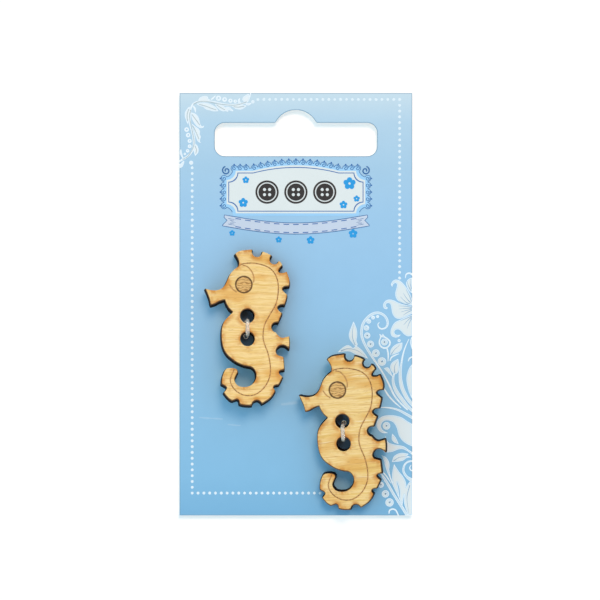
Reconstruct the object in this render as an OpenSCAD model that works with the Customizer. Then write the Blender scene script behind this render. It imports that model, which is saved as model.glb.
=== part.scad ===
// A hang card that holds two laser-cut wooden seahorse buttons.
// X runs across the card, Y runs up to the hang slot and Z comes out of the printed face.
// The origin is below the middle of the card, on the plane that the staple bars rest on.

/* [Card] */
// Width of the card
card_w = 46; // [44:0.5:60]
// Height of the card
card_h = 83.5; // [80:0.5:110]
// Thickness of the board
card_t = 0.5; // [0.3:0.05:1.2]
// Thickness of one layer of printing ink
ink_t = 0.03; // [0.02:0.005:0.05]

/* [Hang slot] */
// Length of the slot across the card
slot_w = 32.1; // [28:0.1:36]
// Height of the slot beside its hump
slot_h = 6.6; // [5:0.1:8]
// Radius of the slot's corners
slot_r = 2; // [0.5:0.1:2.4]
// Distance from the top edge of the card down to the slot
slot_drop = 5.9; // [4.5:0.1:8]
// Radius of the round hump over the middle of the slot
hump_r = 4.46; // [4.1:0.02:6]
// Height of the hump above the slot
hump_rise = 2.55; // [1.5:0.05:3.5]
// Rounding where the hump runs into the slot
hump_fillet = 0.5; // [0.2:0.05:0.8]

/* [Buttons] */
// Height of a seahorse from the crown to the bottom of the tail
button_h = 30.7; // [27:0.1:32]
// Thickness of the plywood
button_t = 3; // [2:0.1:4]
// Diameter of a sewing hole
hole_d = 2.8; // [2:0.1:3.2]
// Distance between the two sewing holes
hole_pitch = 4.5; // [4:0.1:5.5]
// Width of an engraved line
groove_w = 0.2; // [0.15:0.01:0.3]
// Depth of an engraved line
groove_depth = 0.12; // [0.05:0.01:0.3]
// Gap between the ink and the lowest corner of a button
seat_gap = 0.02; // [0.01:0.01:0.2]

/* [Places of the buttons] */
// Upper button, from the left edge of the card to the middle of its holes
upper_in = 13.5; // [13:0.1:15]
// Upper button, from the bottom edge of the card to the middle of its holes
upper_up = 37.14; // [36:0.1:40]
// Lower button, from the right edge of the card to the middle of its holes
lower_in = 13.76; // [13:0.1:15]
// Lower button, from the bottom edge of the card to the middle of its holes
lower_up = 16.5; // [16:0.1:18]
// Turn of the lower button on the card
lower_turn = 2.6; // [0:0.1:6]
// Lean of a button along its length
lean_long = 5; // [0:0.5:7]
// Lean of a button across its width
lean_wide = 4.5; // [0:0.5:7]

/* [Staples] */
// Diameter of the nylon filament
wire_d = 0.8; // [0.5:0.05:1]
// Clearance between the filament and the wood that it holds
wire_gap = 0.1; // [0.06:0.01:0.2]
// Diameter of the bars behind the card
bar_d = 1; // [0.9:0.05:1.6]
// Length of the bars behind the card
bar_len = 6; // [4:0.1:8]
// Clearance round the filament where it pierces the card
pierce_gap = 0.1; // [0.05:0.01:0.2]
// Clearance between the bars and the back of the card
bar_gap = 0.02; // [0.01:0.01:0.1]

/* [Dotted border] */
// Diameter of a dot
dot_d = 0.56; // [0.3:0.02:0.8]
// Distance from dot to dot
dot_pitch = 1.157; // [1:0.01:1.6]
// Distance from the card's edges to the upright rows of dots
dot_in = 2.5; // [1.5:0.1:3]
// Distance from the top edge to the upper row of dots
dot_top = 1.3; // [1:0.1:2]
// Distance from the bottom edge to the lower row of dots
dot_bottom = 4.4; // [3:0.1:6]

/* [Label] */
// Width of the plaque
plaque_w = 27.4; // [24:0.2:29]
// Height of the plaque beside its arch
plaque_h = 8.4; // [8:0.1:8.8]
// Distance from the slot down to the plaque
plaque_drop = 2.9; // [2.5:0.1:3.2]
// Radius of the hollow corners of the plaque
plaque_r = 1.8; // [1:0.1:2.4]
// Height of the arch on top of the plaque
arch_rise = 1.1; // [0.5:0.1:1.2]
// Width of the edging round the plaque
edging_w = 0.5; // [0.3:0.05:0.9]
// Radius of the scallops on the edging
scallop_r = 0.6; // [0.4:0.05:0.7]
// Distance from scallop to scallop
scallop_pitch = 1.35; // [1.2:0.05:2]
// Radius of the printed button discs
disc_r = 2.3; // [1.8:0.1:2.6]
// Distance from disc to disc
disc_pitch = 5.7; // [5.4:0.1:6.2]
// Distance from the edge of the plaque in to its line
line_in = 0.35; // [0.2:0.05:0.5]
// Width of the line
line_w = 0.15; // [0.1:0.01:0.2]
// Width of the ribbon under the plaque
ribbon_w = 2.2; // [1.4:0.1:2.6]
// Clearance between the ribbon and the edging above it
ribbon_gap = 0.13; // [0.1:0.01:0.6]
// Distance from stitch to stitch along the ribbon
stitch_pitch = 1.9; // [1.5:0.1:2.4]

/* [Hidden] */

// Heights of the layers, from the bars upwards
card_back = bar_d + bar_gap;
card_face = card_back + card_t;
ink_top = card_face + ink_t;
overcut = 1;

// Edges of the card and of the slot
right_x = card_w / 2;
top_y = card_h / 2;
slot_top = top_y - slot_drop;
slot_bottom = slot_top - slot_h;
hump_y = slot_top + hump_rise - hump_r;

// Sewing holes and filament
wire_r = wire_d / 2;
leg_y = (hole_pitch - hole_d) / 2 + wire_r + wire_gap;
elbow_r = wire_r + 2 * wire_gap;
run_z = wire_r + wire_gap;

// Colours of the photograph
sky_blue = [0.58, 0.77, 0.90];
ink_white = [0.86, 0.91, 0.93];
ink_cyan = [0.55, 0.79, 0.95];
ink_navy = [0.18, 0.41, 0.69];
ink_azure = [0.12, 0.61, 0.88];
ink_charcoal = [0.12, 0.12, 0.13];
ink_ribbon = [0.76, 0.83, 0.90];
birch = [0.93, 0.78, 0.53];
nylon = [0.93, 0.93, 0.91];

// Curves

// Point at u on a smooth curve through the points of p, where u counts the points
function curve_at(p, u) =
    let (n = len(p) - 1, i = min(floor(u), n - 1), t = u - i,
         a = p[max(i - 1, 0)], b = p[i], c = p[i + 1], d = p[min(i + 2, n)])
    (2 * b + (c - a) * t + (2 * a - 5 * b + 4 * c - d) * t * t
     + (3 * b - a - 3 * c + d) * t * t * t) / 2;

// Smooth curve through the points of p, with a number of steps from point to point
function curve(p, steps) = [for (k = [0 : (len(p) - 1) * steps]) curve_at(p, k / steps)];

// Middle of the circle through three points
function circle_mid(a, b, c) =
    let (d = 2 * (a.x * (b.y - c.y) + b.x * (c.y - a.y) + c.x * (a.y - b.y)),
         aa = a * a, bb = b * b, cc = c * c)
    [aa * (b.y - c.y) + bb * (c.y - a.y) + cc * (a.y - b.y),
     aa * (c.x - b.x) + bb * (a.x - c.x) + cc * (b.x - a.x)] / d;

// Angle brought into the range from 0 to 360
function whole_turn(angle) = angle - 360 * floor(angle / 360);

// Arc that starts at a, passes b and ends at c
function arc(a, b, c, steps) =
    let (m = circle_mid(a, b, c), r = norm(a - m),
         start = atan2(a.y - m.y, a.x - m.x),
         past_b = whole_turn(atan2(b.y - m.y, b.x - m.x) - start),
         past_c = whole_turn(atan2(c.y - m.y, c.x - m.x) - start),
         sweep = past_b < past_c ? past_c : past_c - 360)
    [for (k = [0 : steps]) m + r * [cos(start + sweep * k / steps), sin(start + sweep * k / steps)]];

// Width at t, from 0 to 1, along a list of widths
function width_at(w, t) =
    let (u = t * (len(w) - 1), i = min(floor(u), len(w) - 2))
    w[i] + (w[i + 1] - w[i]) * (1 - cos(180 * (u - i))) / 2;

// Direction across a line of points at point i
function across(c, i) =
    let (d = c[min(i + 1, len(c) - 1)] - c[max(i - 1, 0)])
    [-d.y, d.x] / norm(d);

// Brush stroke along a smooth path, as wide as the list of widths says
module stroke(path, widths, steps = 3) {
    c = curve(path, steps);
    n = len(c) - 1;
    polygon(concat(
        [for (i = [0 : n]) c[i] + across(c, i) * width_at(widths, i / n) / 2],
        [for (i = [n : -1 : 0]) c[i] - across(c, i) * width_at(widths, i / n) / 2]));
}

// Pointed leaf along a path
module leaf(path, w) {
    stroke(path, [0.12, w * 0.8, w, w * 0.62, 0.12]);
}

// Points of a closed shape of smooth rows. Each row goes on from the last point of the row before.
function blade_from(rows, i, from) =
    i == len(rows) ? []
    : let (c = curve(concat([from], rows[i]), 3))
      concat([for (k = [1 : len(c) - 1]) c[k]],
             blade_from(rows, i + 1, rows[i][len(rows[i]) - 1]));

// Leaf or petal that is smooth from corner to corner. Its last row ends at its first corner.
module blade(from, rows) {
    polygon(blade_from(rows, 0, from));
}

// Round pearl of print that leaves a dot of the card bare
module pearl(at, r, bare = 0.2) {
    translate(at) difference() {
        circle(r = r, $fn = 20);
        if (bare > 0) translate([1, 1] * r * (0.2 - bare / 3)) circle(r = r * bare, $fn = 8);
    }
}

// Board

// Plain board with the hang slot cut out
module slotted_board() {
    difference() {
        translate([-right_x, -top_y, card_back]) cube([card_w, card_h, card_t]);
        translate([0, 0, card_back - overcut]) linear_extrude(card_t + 2 * overcut) hang_slot();
    }
}

module hang_slot() {
    for (side = [-1, 1])
        for (y = [slot_bottom + slot_r, slot_top - slot_r])
            translate([side * (slot_w / 2 - slot_r), y]) circle(r = slot_r, $fn = 48);
    translate([-slot_w / 2, slot_bottom + slot_r]) square([slot_w, slot_h - 2 * slot_r]);
    translate([slot_r - slot_w / 2, slot_bottom]) square([slot_w - 2 * slot_r, slot_h]);
    intersection() {
        translate([0, hump_y]) circle(r = hump_r, $fn = 96);
        translate([-slot_w / 4, slot_top - slot_h / 2]) square([slot_w / 2, slot_h / 2 + 2 * hump_rise]);
    }
    for (side = [0, 1]) mirror([side, 0]) hump_corner();
}

// Rounded corner where the hump meets the straight edge of the slot
module hump_corner() {
    up = slot_top + hump_fillet - hump_y;
    out = sqrt(pow(hump_r + hump_fillet, 2) - up * up);
    last = 180 + atan2(up, out);
    polygon(concat(
        [[out * 0.9, slot_top - hump_fillet], [out, slot_top - hump_fillet]],
        [for (k = [0 : 5]) let (angle = 270 + (last - 270) * k / 5)
            [out, slot_top + hump_fillet] + hump_fillet * [cos(angle), sin(angle)]],
        [[0, hump_y] + (hump_r - 0.05) * [cos(last - 180), sin(last - 180)]]));
}

// Seahorse buttons

// Outline of the seahorse for a height of outline_h, with its origin between the sewing holes.
// Each row goes on from the last point: a curve through its points, or an arc past the first
// of its two points.
outline_h = 30.7;
crown_tip = [-2.4, 14.5];
outline_rows = [
    // Crown and the fins down the back of the head
    ["curve", [-1.5, 15.1], [0.2, 15.35], [1.05, 15.4]],
    ["arc", [2, 13.92], [3, 15]],
    ["curve", [3.8, 14.75], [4.9, 14.2]],
    ["arc", [4.78, 12.67], [6.25, 13.15]],
    ["curve", [6.65, 12.85], [6.95, 12.25]],
    ["curve", [6.4, 11.65], [6.15, 11.05], [6.5, 10.8], [7.2, 10.8], [7.78, 11.05]],
    ["curve", [8.2, 9.9], [8.37, 9], [8.25, 8.13]],
    ["curve", [7.35, 8.05], [6.87, 7.55], [7.2, 7.05], [7.87, 6.48]],
    ["curve", [7.72, 5.7], [7.33, 4.5]],
    ["curve", [6.5, 4.45], [5.92, 3.93], [6.12, 3.4], [6.85, 2.82]],
    ["curve", [6.36, 1.75], [6.05, 0.96]],
    ["arc", [4.7, 0.07], [5.55, -0.95]],
    // Dorsal fin and the deep notch below it
    ["curve", [5.95, -1.45], [6.43, -1.86], [6.95, -2], [7.5, -1.87], [8.2, -1.68]],
    ["curve", [8.28, -2.8], [8.2, -4.23]],
    ["curve", [7.65, -3.75], [7, -3.47], [6.3, -3.6], [5.78, -4.07], [5.55, -4.7],
              [5.78, -5.3], [6.4, -5.57], [7.05, -5.78]],
    // Fins down the tail
    ["curve", [7.15, -7.1], [7.23, -8.36]],
    ["curve", [6.55, -8.42], [6.13, -8.8], [6.35, -9.25], [6.87, -9.7]],
    ["curve", [6.5, -10.5], [6.07, -11.27]],
    ["curve", [5.35, -11.38], [4.98, -11.8], [5.42, -12.4]],
    ["curve", [4.88, -13.35], [4.05, -14.18], [2.75, -14.98]],
    ["arc", [1.65, -14.3], [0.72, -15.3]],
    ["curve", [-0.5, -15.28], [-1.6, -15.05]],
    ["curve", [-1.72, -14.35], [-2.14, -14.07], [-2.6, -14.22], [-3.15, -14.38]],
    ["curve", [-3.93, -13.79], [-4.72, -12.78]],
    ["curve", [-4.3, -12.3], [-4.1, -11.85], [-4.5, -11.45], [-5.13, -11.12]],
    // Curled tail, its loop and the belly
    ["curve", [-5.04, -10], [-4.7, -8.9], [-4.14, -8.05], [-3, -7.92], [-2.2, -8.15],
              [-1.95, -8.7], [-2.3, -9.45], [-2.6, -10.3], [-2.2, -11.14], [-1.36, -11.6],
              [-0.07, -11.6], [0.86, -11.14], [1.5, -10.3], [1.68, -9.4], [1.45, -8.5],
              [0.75, -7.8], [-0.64, -7.5], [-2, -6.95], [-3.23, -6.1], [-4.23, -5.1],
              [-4.86, -3.7], [-5.1, -1.9], [-5, 0], [-4.5, 1.27], [-3.6, 2.3], [-2.82, 3.05]],
    // Throat, snout and forehead
    ["curve", [-3.5, 3.65], [-4.1, 4.6], [-4.4, 5.48]],
    ["curve", [-5.5, 5.15], [-6.4, 4.65], [-7.22, 4.42]],
    ["curve", [-7.45, 5.7], [-8.27, 7.72]],
    ["curve", [-7.5, 7.48], [-6.5, 7.34], [-5.4, 7.52], [-4.5, 8.2], [-3.97, 9.2],
              [-3.4, 10.45], [-2.6, 11.4], [-1.65, 12.1]],
    ["curve", [-1.6, 12.95], [-1.95, 13.8], crown_tip]];

// Engraved line that follows the back from the forehead to the tail
spine_line = [[-1.6, 12.25], [-0.5, 12.65], [1.5, 12.7], [3.8, 12.1], [5.2, 11], [5.95, 9.4],
              [6.12, 7.3], [5.65, 4.7], [4.4, 2.5], [3.35, 0.5], [3.05, -1.8], [3.4, -3.4],
              [4, -5], [4.45, -7.5], [4.3, -9.7], [3.2, -11.8], [1.3, -13.2], [-0.9, -13.2],
              [-2.7, -12], [-3.42, -10.2], [-2.55, -8.05]];
// Engraved lines over and in front of the eye
brow_line = [[-0.9, 12.3], [0.1, 12], [1, 10.9], [1.33, 9.8], [1.25, 8.9]];
cheek_line = [[-3.5, 8.5], [-2.9, 7.6], [-2.1, 7]];
eye_at = [-0.66, 8.5];
eye_r = 1.6;

outline_k = button_h / outline_h;

// Points of one row of the outline, without the point that it goes on from
function row_points(from, row) =
    let (p = [for (i = [1 : len(row) - 1]) row[i]],
         all = row[0] == "arc" ? arc(from, p[0], p[1], 9) : curve(concat([from], p), 3))
    [for (i = [1 : len(all) - 1]) all[i]];

// Points of the outline from one row onwards
function outline_from(i, from) =
    i == len(outline_rows) ? []
    : concat(row_points(from, outline_rows[i]),
             outline_from(i + 1, outline_rows[i][len(outline_rows[i]) - 1]));

outline = outline_k * outline_from(0, crown_tip);

// Third row of a button's turn, which gives the height of a point of the button
function lean_row(lean) = [-sin(lean.y), cos(lean.y) * sin(lean.x), cos(lean.y) * cos(lean.x)];

// Height of a button's origin at which the lowest corner of its back is just clear of the ink
function button_z(lean) =
    let (low = min([for (p = outline) lean_row(lean) * [p.x, p.y, -button_t]]))
    ink_top + seat_gap - low;

upper_lean = [-lean_long, lean_wide, 0];
lower_lean = [lean_long, -lean_wide, lower_turn];
upper_at = [upper_in - right_x, upper_up - top_y, button_z(upper_lean)];
lower_at = [right_x - lower_in, lower_up - top_y, button_z(lower_lean)];

// Puts its children into the frame of a button, with its origin in the face between the holes
module in_button(at, lean) {
    translate(at) rotate(lean) children();
}

module seahorse() {
    difference() {
        translate([0, 0, -button_t]) linear_extrude(button_t) polygon(outline);
        for (side = [-1, 1])
            translate([0, side * hole_pitch / 2, -button_t - overcut])
                cylinder(d = hole_d, h = button_t + 2 * overcut, $fn = 32);
        translate([0, 0, -groove_depth]) {
            linear_extrude(groove_depth + overcut) {
                stroke(outline_k * spine_line, [groove_w, groove_w]);
                stroke(outline_k * brow_line, [groove_w, groove_w]);
                stroke(outline_k * cheek_line, [groove_w, groove_w]);
            }
            translate(outline_k * eye_at) eye_groove();
        }
    }
}

module eye_groove() {
    difference() {
        cylinder(r = outline_k * eye_r + groove_w / 2, h = groove_depth + overcut, $fn = 32);
        translate([0, 0, -overcut])
            cylinder(r = outline_k * eye_r - groove_w / 2, h = groove_depth + 3 * overcut, $fn = 32);
    }
}

// Nylon staples

// Height in the button's frame at which a leg meets the middle of its bar
function foot_z(at, lean, y) =
    (bar_d / 2 - at.z - lean_row(lean).y * y) / lean_row(lean).z;

// Leg of a staple from its elbow down to its bar, or the hole that it pierces
module leg(at, lean, side, d) {
    foot = foot_z(at, lean, side * leg_y);
    translate([0, side * leg_y, foot]) cylinder(d = d, h = run_z - elbow_r - foot, $fn = 16);
}

// Quarter turn of filament from the run over the wood down into a sewing hole
module elbow(side) {
    translate([0, side * (leg_y - elbow_r), run_z - elbow_r])
        rotate([90, 0, 90 * side])
            rotate_extrude(angle = 90, $fn = 24)
                translate([elbow_r, 0]) circle(d = wire_d, $fn = 16);
}

module staple(at, lean) {
    in_button(at, lean) {
        translate([0, leg_y - elbow_r, run_z])
            rotate([90, 0, 0]) cylinder(d = wire_d, h = 2 * (leg_y - elbow_r), $fn = 16);
        for (side = [-1, 1]) {
            elbow(side);
            leg(at, lean, side, wire_d);
        }
    }
    for (side = [-1, 1]) staple_bar(at, lean, side);
}

// Bar at the foot of a leg, flat against the back of the card
module staple_bar(at, lean, side) {
    foot = foot_z(at, lean, side * leg_y);
    // A leg's foot in the card's frame: the lean moves it sideways, and then the turn carries it
    x = sin(lean.y) * (sin(lean.x) * side * leg_y + cos(lean.x) * foot);
    y = cos(lean.x) * side * leg_y - sin(lean.x) * foot;
    translate([at.x, at.y, bar_d / 2]) rotate(lean.z) translate([x - bar_len / 2, y, 0])
        rotate([0, 90, 0]) cylinder(d = bar_d, h = bar_len, $fn = 20);
}

// Printed ornaments

// Lays flat shapes on the card as ink, on the bare board or on other layers of ink
module ink(colour, layer = 0) {
    color(colour) translate([0, 0, card_face + layer * ink_t]) linear_extrude(ink_t) children();
}

// Row of dots from one point to another, spaced by the pitch
module dot_row(from, to) {
    n = round(norm(to - from) / dot_pitch);
    for (k = [0 : n])
        translate(from + (to - from) * k / n) circle(d = dot_d, $fn = 6);
}

// Keeps what lies on the card
module on_card() {
    intersection() {
        children();
        square([card_w, card_h], center = true);
    }
}

// Places its children from the top left corner of the card, which stands at [-23, 41.75] there
module from_top_left() {
    translate([23 - right_x, top_y - 41.75]) children();
}

// Places its children from the bottom right corner, which stands at [23, -41.75] there
module from_bottom_right() {
    translate([right_x - 23, 41.75 - top_y]) children();
}

module sprig_shapes() {
    // Stem to the right along the top edge
    stroke([[-20.9, 38.6], [-20.3, 39.6], [-19.2, 40.05], [-17.6, 40.1], [-16, 39.9], [-14.7, 39.55],
            [-13.3, 39.35], [-11.9, 39.4], [-10.5, 39.65], [-9.6, 40.1], [-9.2, 40.8], [-8.9, 41.9]],
           [0.25, 0.4, 0.45, 0.35, 0.2]);
    // Stem down along the left edge
    stroke([[-20.5, 39.3], [-20.9, 38.2], [-21, 36.9], [-20.9, 35.6], [-20.5, 34.3], [-20.2, 32.8],
            [-20.15, 31.4], [-20.5, 30.3], [-21.2, 29.4], [-22.2, 28.7], [-23.3, 28.1]],
           [0.3, 0.45, 0.5, 0.4, 0.35]);
    upper_sprig_leaves();
    side_sprig_leaves();
}

module upper_sprig_leaves() {
    blade([-19.3, 40.3], [[[-19, 40.8], [-18.4, 41.1], [-17.8, 41.15], [-17.35, 40.95]],
                          [[-17.35, 40.65], [-16.95, 40.4]],
                          [[-18, 40], [-19.3, 40.3]]]);
    leaf([[-16.8, 40.4], [-16.4, 40.7], [-15.9, 41.2]], 0.35);
    blade([-19.7, 39.6], [[[-19, 39.2], [-18.3, 39]],
                          [[-17.8, 38.5], [-17, 38.3]],
                          [[-16.3, 38.1], [-15.3, 38.15]],
                          [[-15.7, 38.8], [-16.4, 39.3], [-17.2, 39.65], [-18.3, 39.8], [-19.7, 39.6]]]);
    blade([-16, 39.6], [[[-15.6, 38.9], [-15, 38.35], [-14.4, 38.1]],
                        [[-13.9, 38.15], [-13.4, 38]],
                        [[-13.4, 38.5], [-14, 38.95], [-14.9, 39.4], [-16, 39.6]]]);
    leaf([[-13.8, 38.9], [-13.1, 38.6], [-12.4, 38.15]], 0.6);
    blade([-12.7, 39.15], [[[-12, 38.65], [-11.5, 38.5]],
                           [[-10.7, 38.5], [-9.7, 39.2]],
                           [[-10.4, 39.35], [-11.5, 39.35], [-12.7, 39.15]]]);
    leaf([[-10, 39.7], [-9.4, 39.5], [-8.8, 39.75]], 0.5);
    blade([-10, 39.8], [[[-10.55, 40.3], [-10.45, 40.9], [-9.9, 41.3], [-9.35, 41.6]],
                        [[-9.25, 40.9], [-9.55, 40.3], [-10, 39.8]]]);
    leaf([[-10.9, 39.6], [-11.3, 40.1], [-11.1, 40.7]], 0.5);
    pearl([-15.3, 40.7], 0.52, 0.4);
    pearl([-14.1, 40.45], 0.46, 0.4);
    pearl([-12.95, 40.2], 0.42, 0.4);
    pearl([-12, 40.1], 0.34, 0.3);
    pearl([-8.5, 40], 0.32, 0);
}

module side_sprig_leaves() {
    blade([-21, 39.1], [[[-21.6, 38.5], [-21.95, 37.8]],
                        [[-21.95, 37], [-21.7, 36.4]],
                        [[-21.6, 36], [-21.3, 35.5]],
                        [[-21.15, 36.8], [-21, 37.9], [-21, 39.1]]]);
    leaf([[-20.3, 39.2], [-19.95, 38.6], [-19.85, 37.9]], 0.4);
    blade([-20.7, 37.9], [[[-19.9, 37.65], [-19.35, 37.1], [-19.05, 36.3], [-18.85, 35.45],
                           [-18.45, 35.15], [-18.1, 35.35]],
                          [[-18.3, 34.9], [-18.9, 34.8], [-19.6, 35.2], [-20.2, 35.95],
                           [-20.6, 36.8], [-20.7, 37.9]]]);
    blade([-20.6, 35.7], [[[-19.9, 35.15], [-19.25, 34.7]],
                          [[-18.95, 34.15], [-19.05, 33.6]],
                          [[-18.8, 33.1], [-18.95, 32.5]],
                          [[-18.95, 32.1], [-18.65, 31.75]],
                          [[-19.4, 32.2], [-19.8, 33.1], [-20.15, 34.3], [-20.6, 35.7]]]);
    blade([-20.1, 31.8], [[[-19.5, 31.4], [-19.25, 30.7]],
                          [[-19.3, 30], [-19.9, 29.3]],
                          [[-20.15, 30], [-20.2, 30.9], [-20.1, 31.8]]]);
    leaf([[-22.75, 30.6], [-22.7, 29.7], [-22.2, 28.7]], 0.45);
    leaf([[-23.3, 27.1], [-22.7, 27.4], [-22.1, 28.3]], 0.8);
    pearl([-21.6, 34.5], 0.46, 0.4);
    pearl([-21.3, 33.4], 0.44, 0.4);
    pearl([-21, 32.25], 0.4, 0.3);
    pearl([-21, 31.2], 0.38, 0.3);
    pearl([-21.4, 30.3], 0.34, 0.3);
    pearl([-21.95, 29.7], 0.24, 0.3);
    pearl([-20.7, 27.95], 0.4, 0);
}

module scroll_shapes() {
    lily();
    frond();
    bud();
    middle_leaves();
    upper_stems();
    big_scroll();
    lower_leaves();
    lower_stems();
}

// Flower at the right edge, with petals that curl at their tips
module lily() {
    // Top petal and its curl
    stroke([[21.65, 5.15], [21.75, 5.8], [22.15, 6.1], [22.7, 6.05], [23.3, 5.6]], [0.15, 0.3, 0.4]);
    blade([23.4, 5.3], [[[22.5, 5.1], [21.95, 4.6], [21.8, 4], [22.05, 3.2], [22.5, 2.5], [23.4, 1.9]],
                        [[23.5, 3.6], [23.4, 5.3]]]);
    blade([23.1, -0.3], [[[22.9, 1.1], [22.35, 2.4], [21.6, 3.6], [20.6, 4.6], [19.7, 4.85],
                          [19.1, 4.5], [18.8, 3.9], [19.05, 3.4]],
                         [[19.2, 3.9], [19.65, 4.2], [20, 3.9], [19.9, 3.2], [19.65, 2.2],
                          [19.8, 1.25], [20.45, 0.45], [21.6, 0.05], [23.1, -0.3]]]);
    blade([23.4, -0.55], [[[21.4, -0.1], [20.3, 0.25], [19.3, 0.75], [18.3, 0.9], [17.55, 0.5],
                           [17.25, -0.15], [17.4, -0.8], [17.95, -1]],
                          [[18.2, -0.7]],
                          [[17.85, -0.5], [17.8, 0], [18.25, 0.25], [18.75, -0.1], [18.9, -0.9],
                           [19.1, -1.9], [19.7, -2.7], [20.6, -2.9], [21.9, -2.4], [23.4, -1.65]]]);
    blade([23.4, -2], [[[21.9, -2.5], [20.6, -3.1], [19.6, -3.6], [19, -4.45], [18.7, -5.5],
                        [18.95, -6.3], [19.7, -6.6], [20.4, -6.4], [20.7, -6]],
                       [[20.1, -6.1], [19.6, -5.9], [19.45, -5.45], [19.75, -5.05], [20.3, -5],
                        [20.8, -5.3], [21.4, -5.95], [22.2, -6.35], [23.4, -6.1]]]);
    leaf([[23, -6.4], [22.85, -7.6], [23.1, -9.1]], 0.6);
}

// Curled frond with its row of growing pearls
module frond() {
    stroke([[16.5, -3.6], [16.2, -4], [16.4, -4.6], [17, -4.9], [17.8, -4.6], [18.15, -3.8],
            [17.9, -2.8], [17.2, -2.05], [16.2, -1.7], [15.1, -1.95], [14.1, -2.7], [13.3, -3.8],
            [13, -5], [13, -6.2], [13.4, -7.5], [14.1, -8.85], [15, -10.3], [16, -11.8],
            [17, -13.3], [17.9, -14.9], [18.6, -16.3], [19.2, -17.6], [20, -18.8], [21, -19.9],
            [22.1, -20.9]], [0.15, 0.3, 0.45, 0.5, 0.5, 0.45, 0.3, 0.35, 0.3]);
    pearl_at = [[16.15, -2.45], [15.25, -2.65], [14.4, -3.4], [13.95, -4.7], [14.1, -6.2],
                [14.75, -7.9], [15.8, -9.7], [17, -11.35]];
    for (k = [0 : len(pearl_at) - 1]) pearl(pearl_at[k], 0.3 + 0.076 * k);
}

// Hollow bud round a pearl, on a stalk of its own
module bud() {
    difference() {
        blade([16.45, -5.9], [[[16.75, -6], [17, -6.25]],
                              [[17.2, -5.8]],
                              [[17.5, -6.3], [18.2, -6.75], [18.75, -7.4], [18.6, -8.2],
                               [17.9, -8.8], [17, -8.7], [16.4, -8], [16.4, -7.2], [16.65, -6.5],
                               [16.45, -5.9]]]);
        blade([16.9, -6.55], [[[17.4, -6.6], [18, -6.95], [18.4, -7.5], [18.3, -8.1], [17.75, -8.5],
                               [17.1, -8.4], [16.7, -7.9], [16.65, -7.2], [16.9, -6.55]]]);
    }
    pearl([17.5, -7.5], 0.66);
    stroke([[18, -8.7], [18.25, -9.9], [18.2, -11.3]], [0.25, 0.3, 0.12]);
    translate([20.4, -7.2]) circle(r = 0.3, $fn = 14);
}

// Leaves beside the frond, and the pair that stands clear on the left
module middle_leaves() {
    blade([18.7, -10.1], [[[18.7, -9.2], [19.25, -8.35], [20.1, -7.8], [21.05, -7.6]],
                          [[20.95, -8.7], [20.45, -9.4], [19.7, -9.75], [18.7, -10.1]]]);
    stroke([[18.6, -11.2], [18.9, -10.5], [19.6, -10.1], [20.4, -9.8]], [0.2, 0.3, 0.12]);
    blade([19.5, -13.9], [[[18.85, -13.2], [18.65, -12.3], [19.1, -11.45], [20.2, -10.8]],
                          [[20.4, -11.8], [20.35, -12.9], [20.05, -13.6], [19.5, -13.9]]]);
    stroke([[19.5, -13.5], [19.2, -14.7], [19.35, -16], [19.9, -17.3], [20.8, -18.6], [21.9, -20],
            [23.3, -21.3]], [0.3, 0.5, 0.7, 0.7, 0.5]);
    blade([17.4, -12.7], [[[18.1, -12.5], [18.6, -13], [19.1, -14.4]],
                          [[18.3, -13.6], [17.4, -12.7]]]);
    blade([11.4, -3.4], [[[10.9, -4.6], [10.5, -5.8], [10.6, -6.8], [11.1, -7.6], [11.8, -8.4]],
                         [[12.2, -8], [11.95, -7.2], [12.1, -6.2], [12, -4.9], [11.4, -3.4]]]);
    blade([8.3, -9.5], [[[9, -8.8], [10, -8.15], [10.7, -8.25], [11.3, -8.75]],
                        [[11.9, -8.3], [12.6, -8.7], [13.4, -9.5], [14.3, -10.8]],
                        [[13.1, -10.3], [12.2, -10.1], [11.2, -9.6], [10.3, -9.3], [8.3, -9.5]]]);
}

// Long stems that fan out over the lower button, and the petal at the edge
module upper_stems() {
    stroke([[22.35, -6.9], [21.7, -8.3], [21.2, -9.8], [20.9, -11.4], [20.65, -13.1], [20.65, -14.7],
            [20.9, -16.2], [21.4, -17.5], [22.2, -18.9], [23.3, -20.2]],
           [0.12, 0.25, 0.35, 0.6, 0.75, 0.75, 0.6]);
    stroke([[17.3, -16.4], [18.1, -17.8], [19.3, -19.2], [20.8, -20.5]], [0.15, 0.32, 0.3, 0.12]);
    blade([23.5, -11.4], [[[22.6, -12.3], [22.1, -13.4], [21.85, -14.7], [22, -16], [22.3, -17.2],
                           [22.8, -18.4], [23.5, -19.4]], [[23.6, -15.4], [23.5, -11.4]]]);
    stroke([[22.2, -11.3], [22.4, -10.8], [22.8, -10.5], [23.3, -10.4]], [0.15, 0.3, 0.3]);
    stroke([[16.8, -20.4], [18.6, -20.5], [20.3, -20.95], [21.9, -21.8], [23.3, -22.6]],
           [0.12, 0.3, 0.4, 0.5, 0.6]);
}

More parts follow.
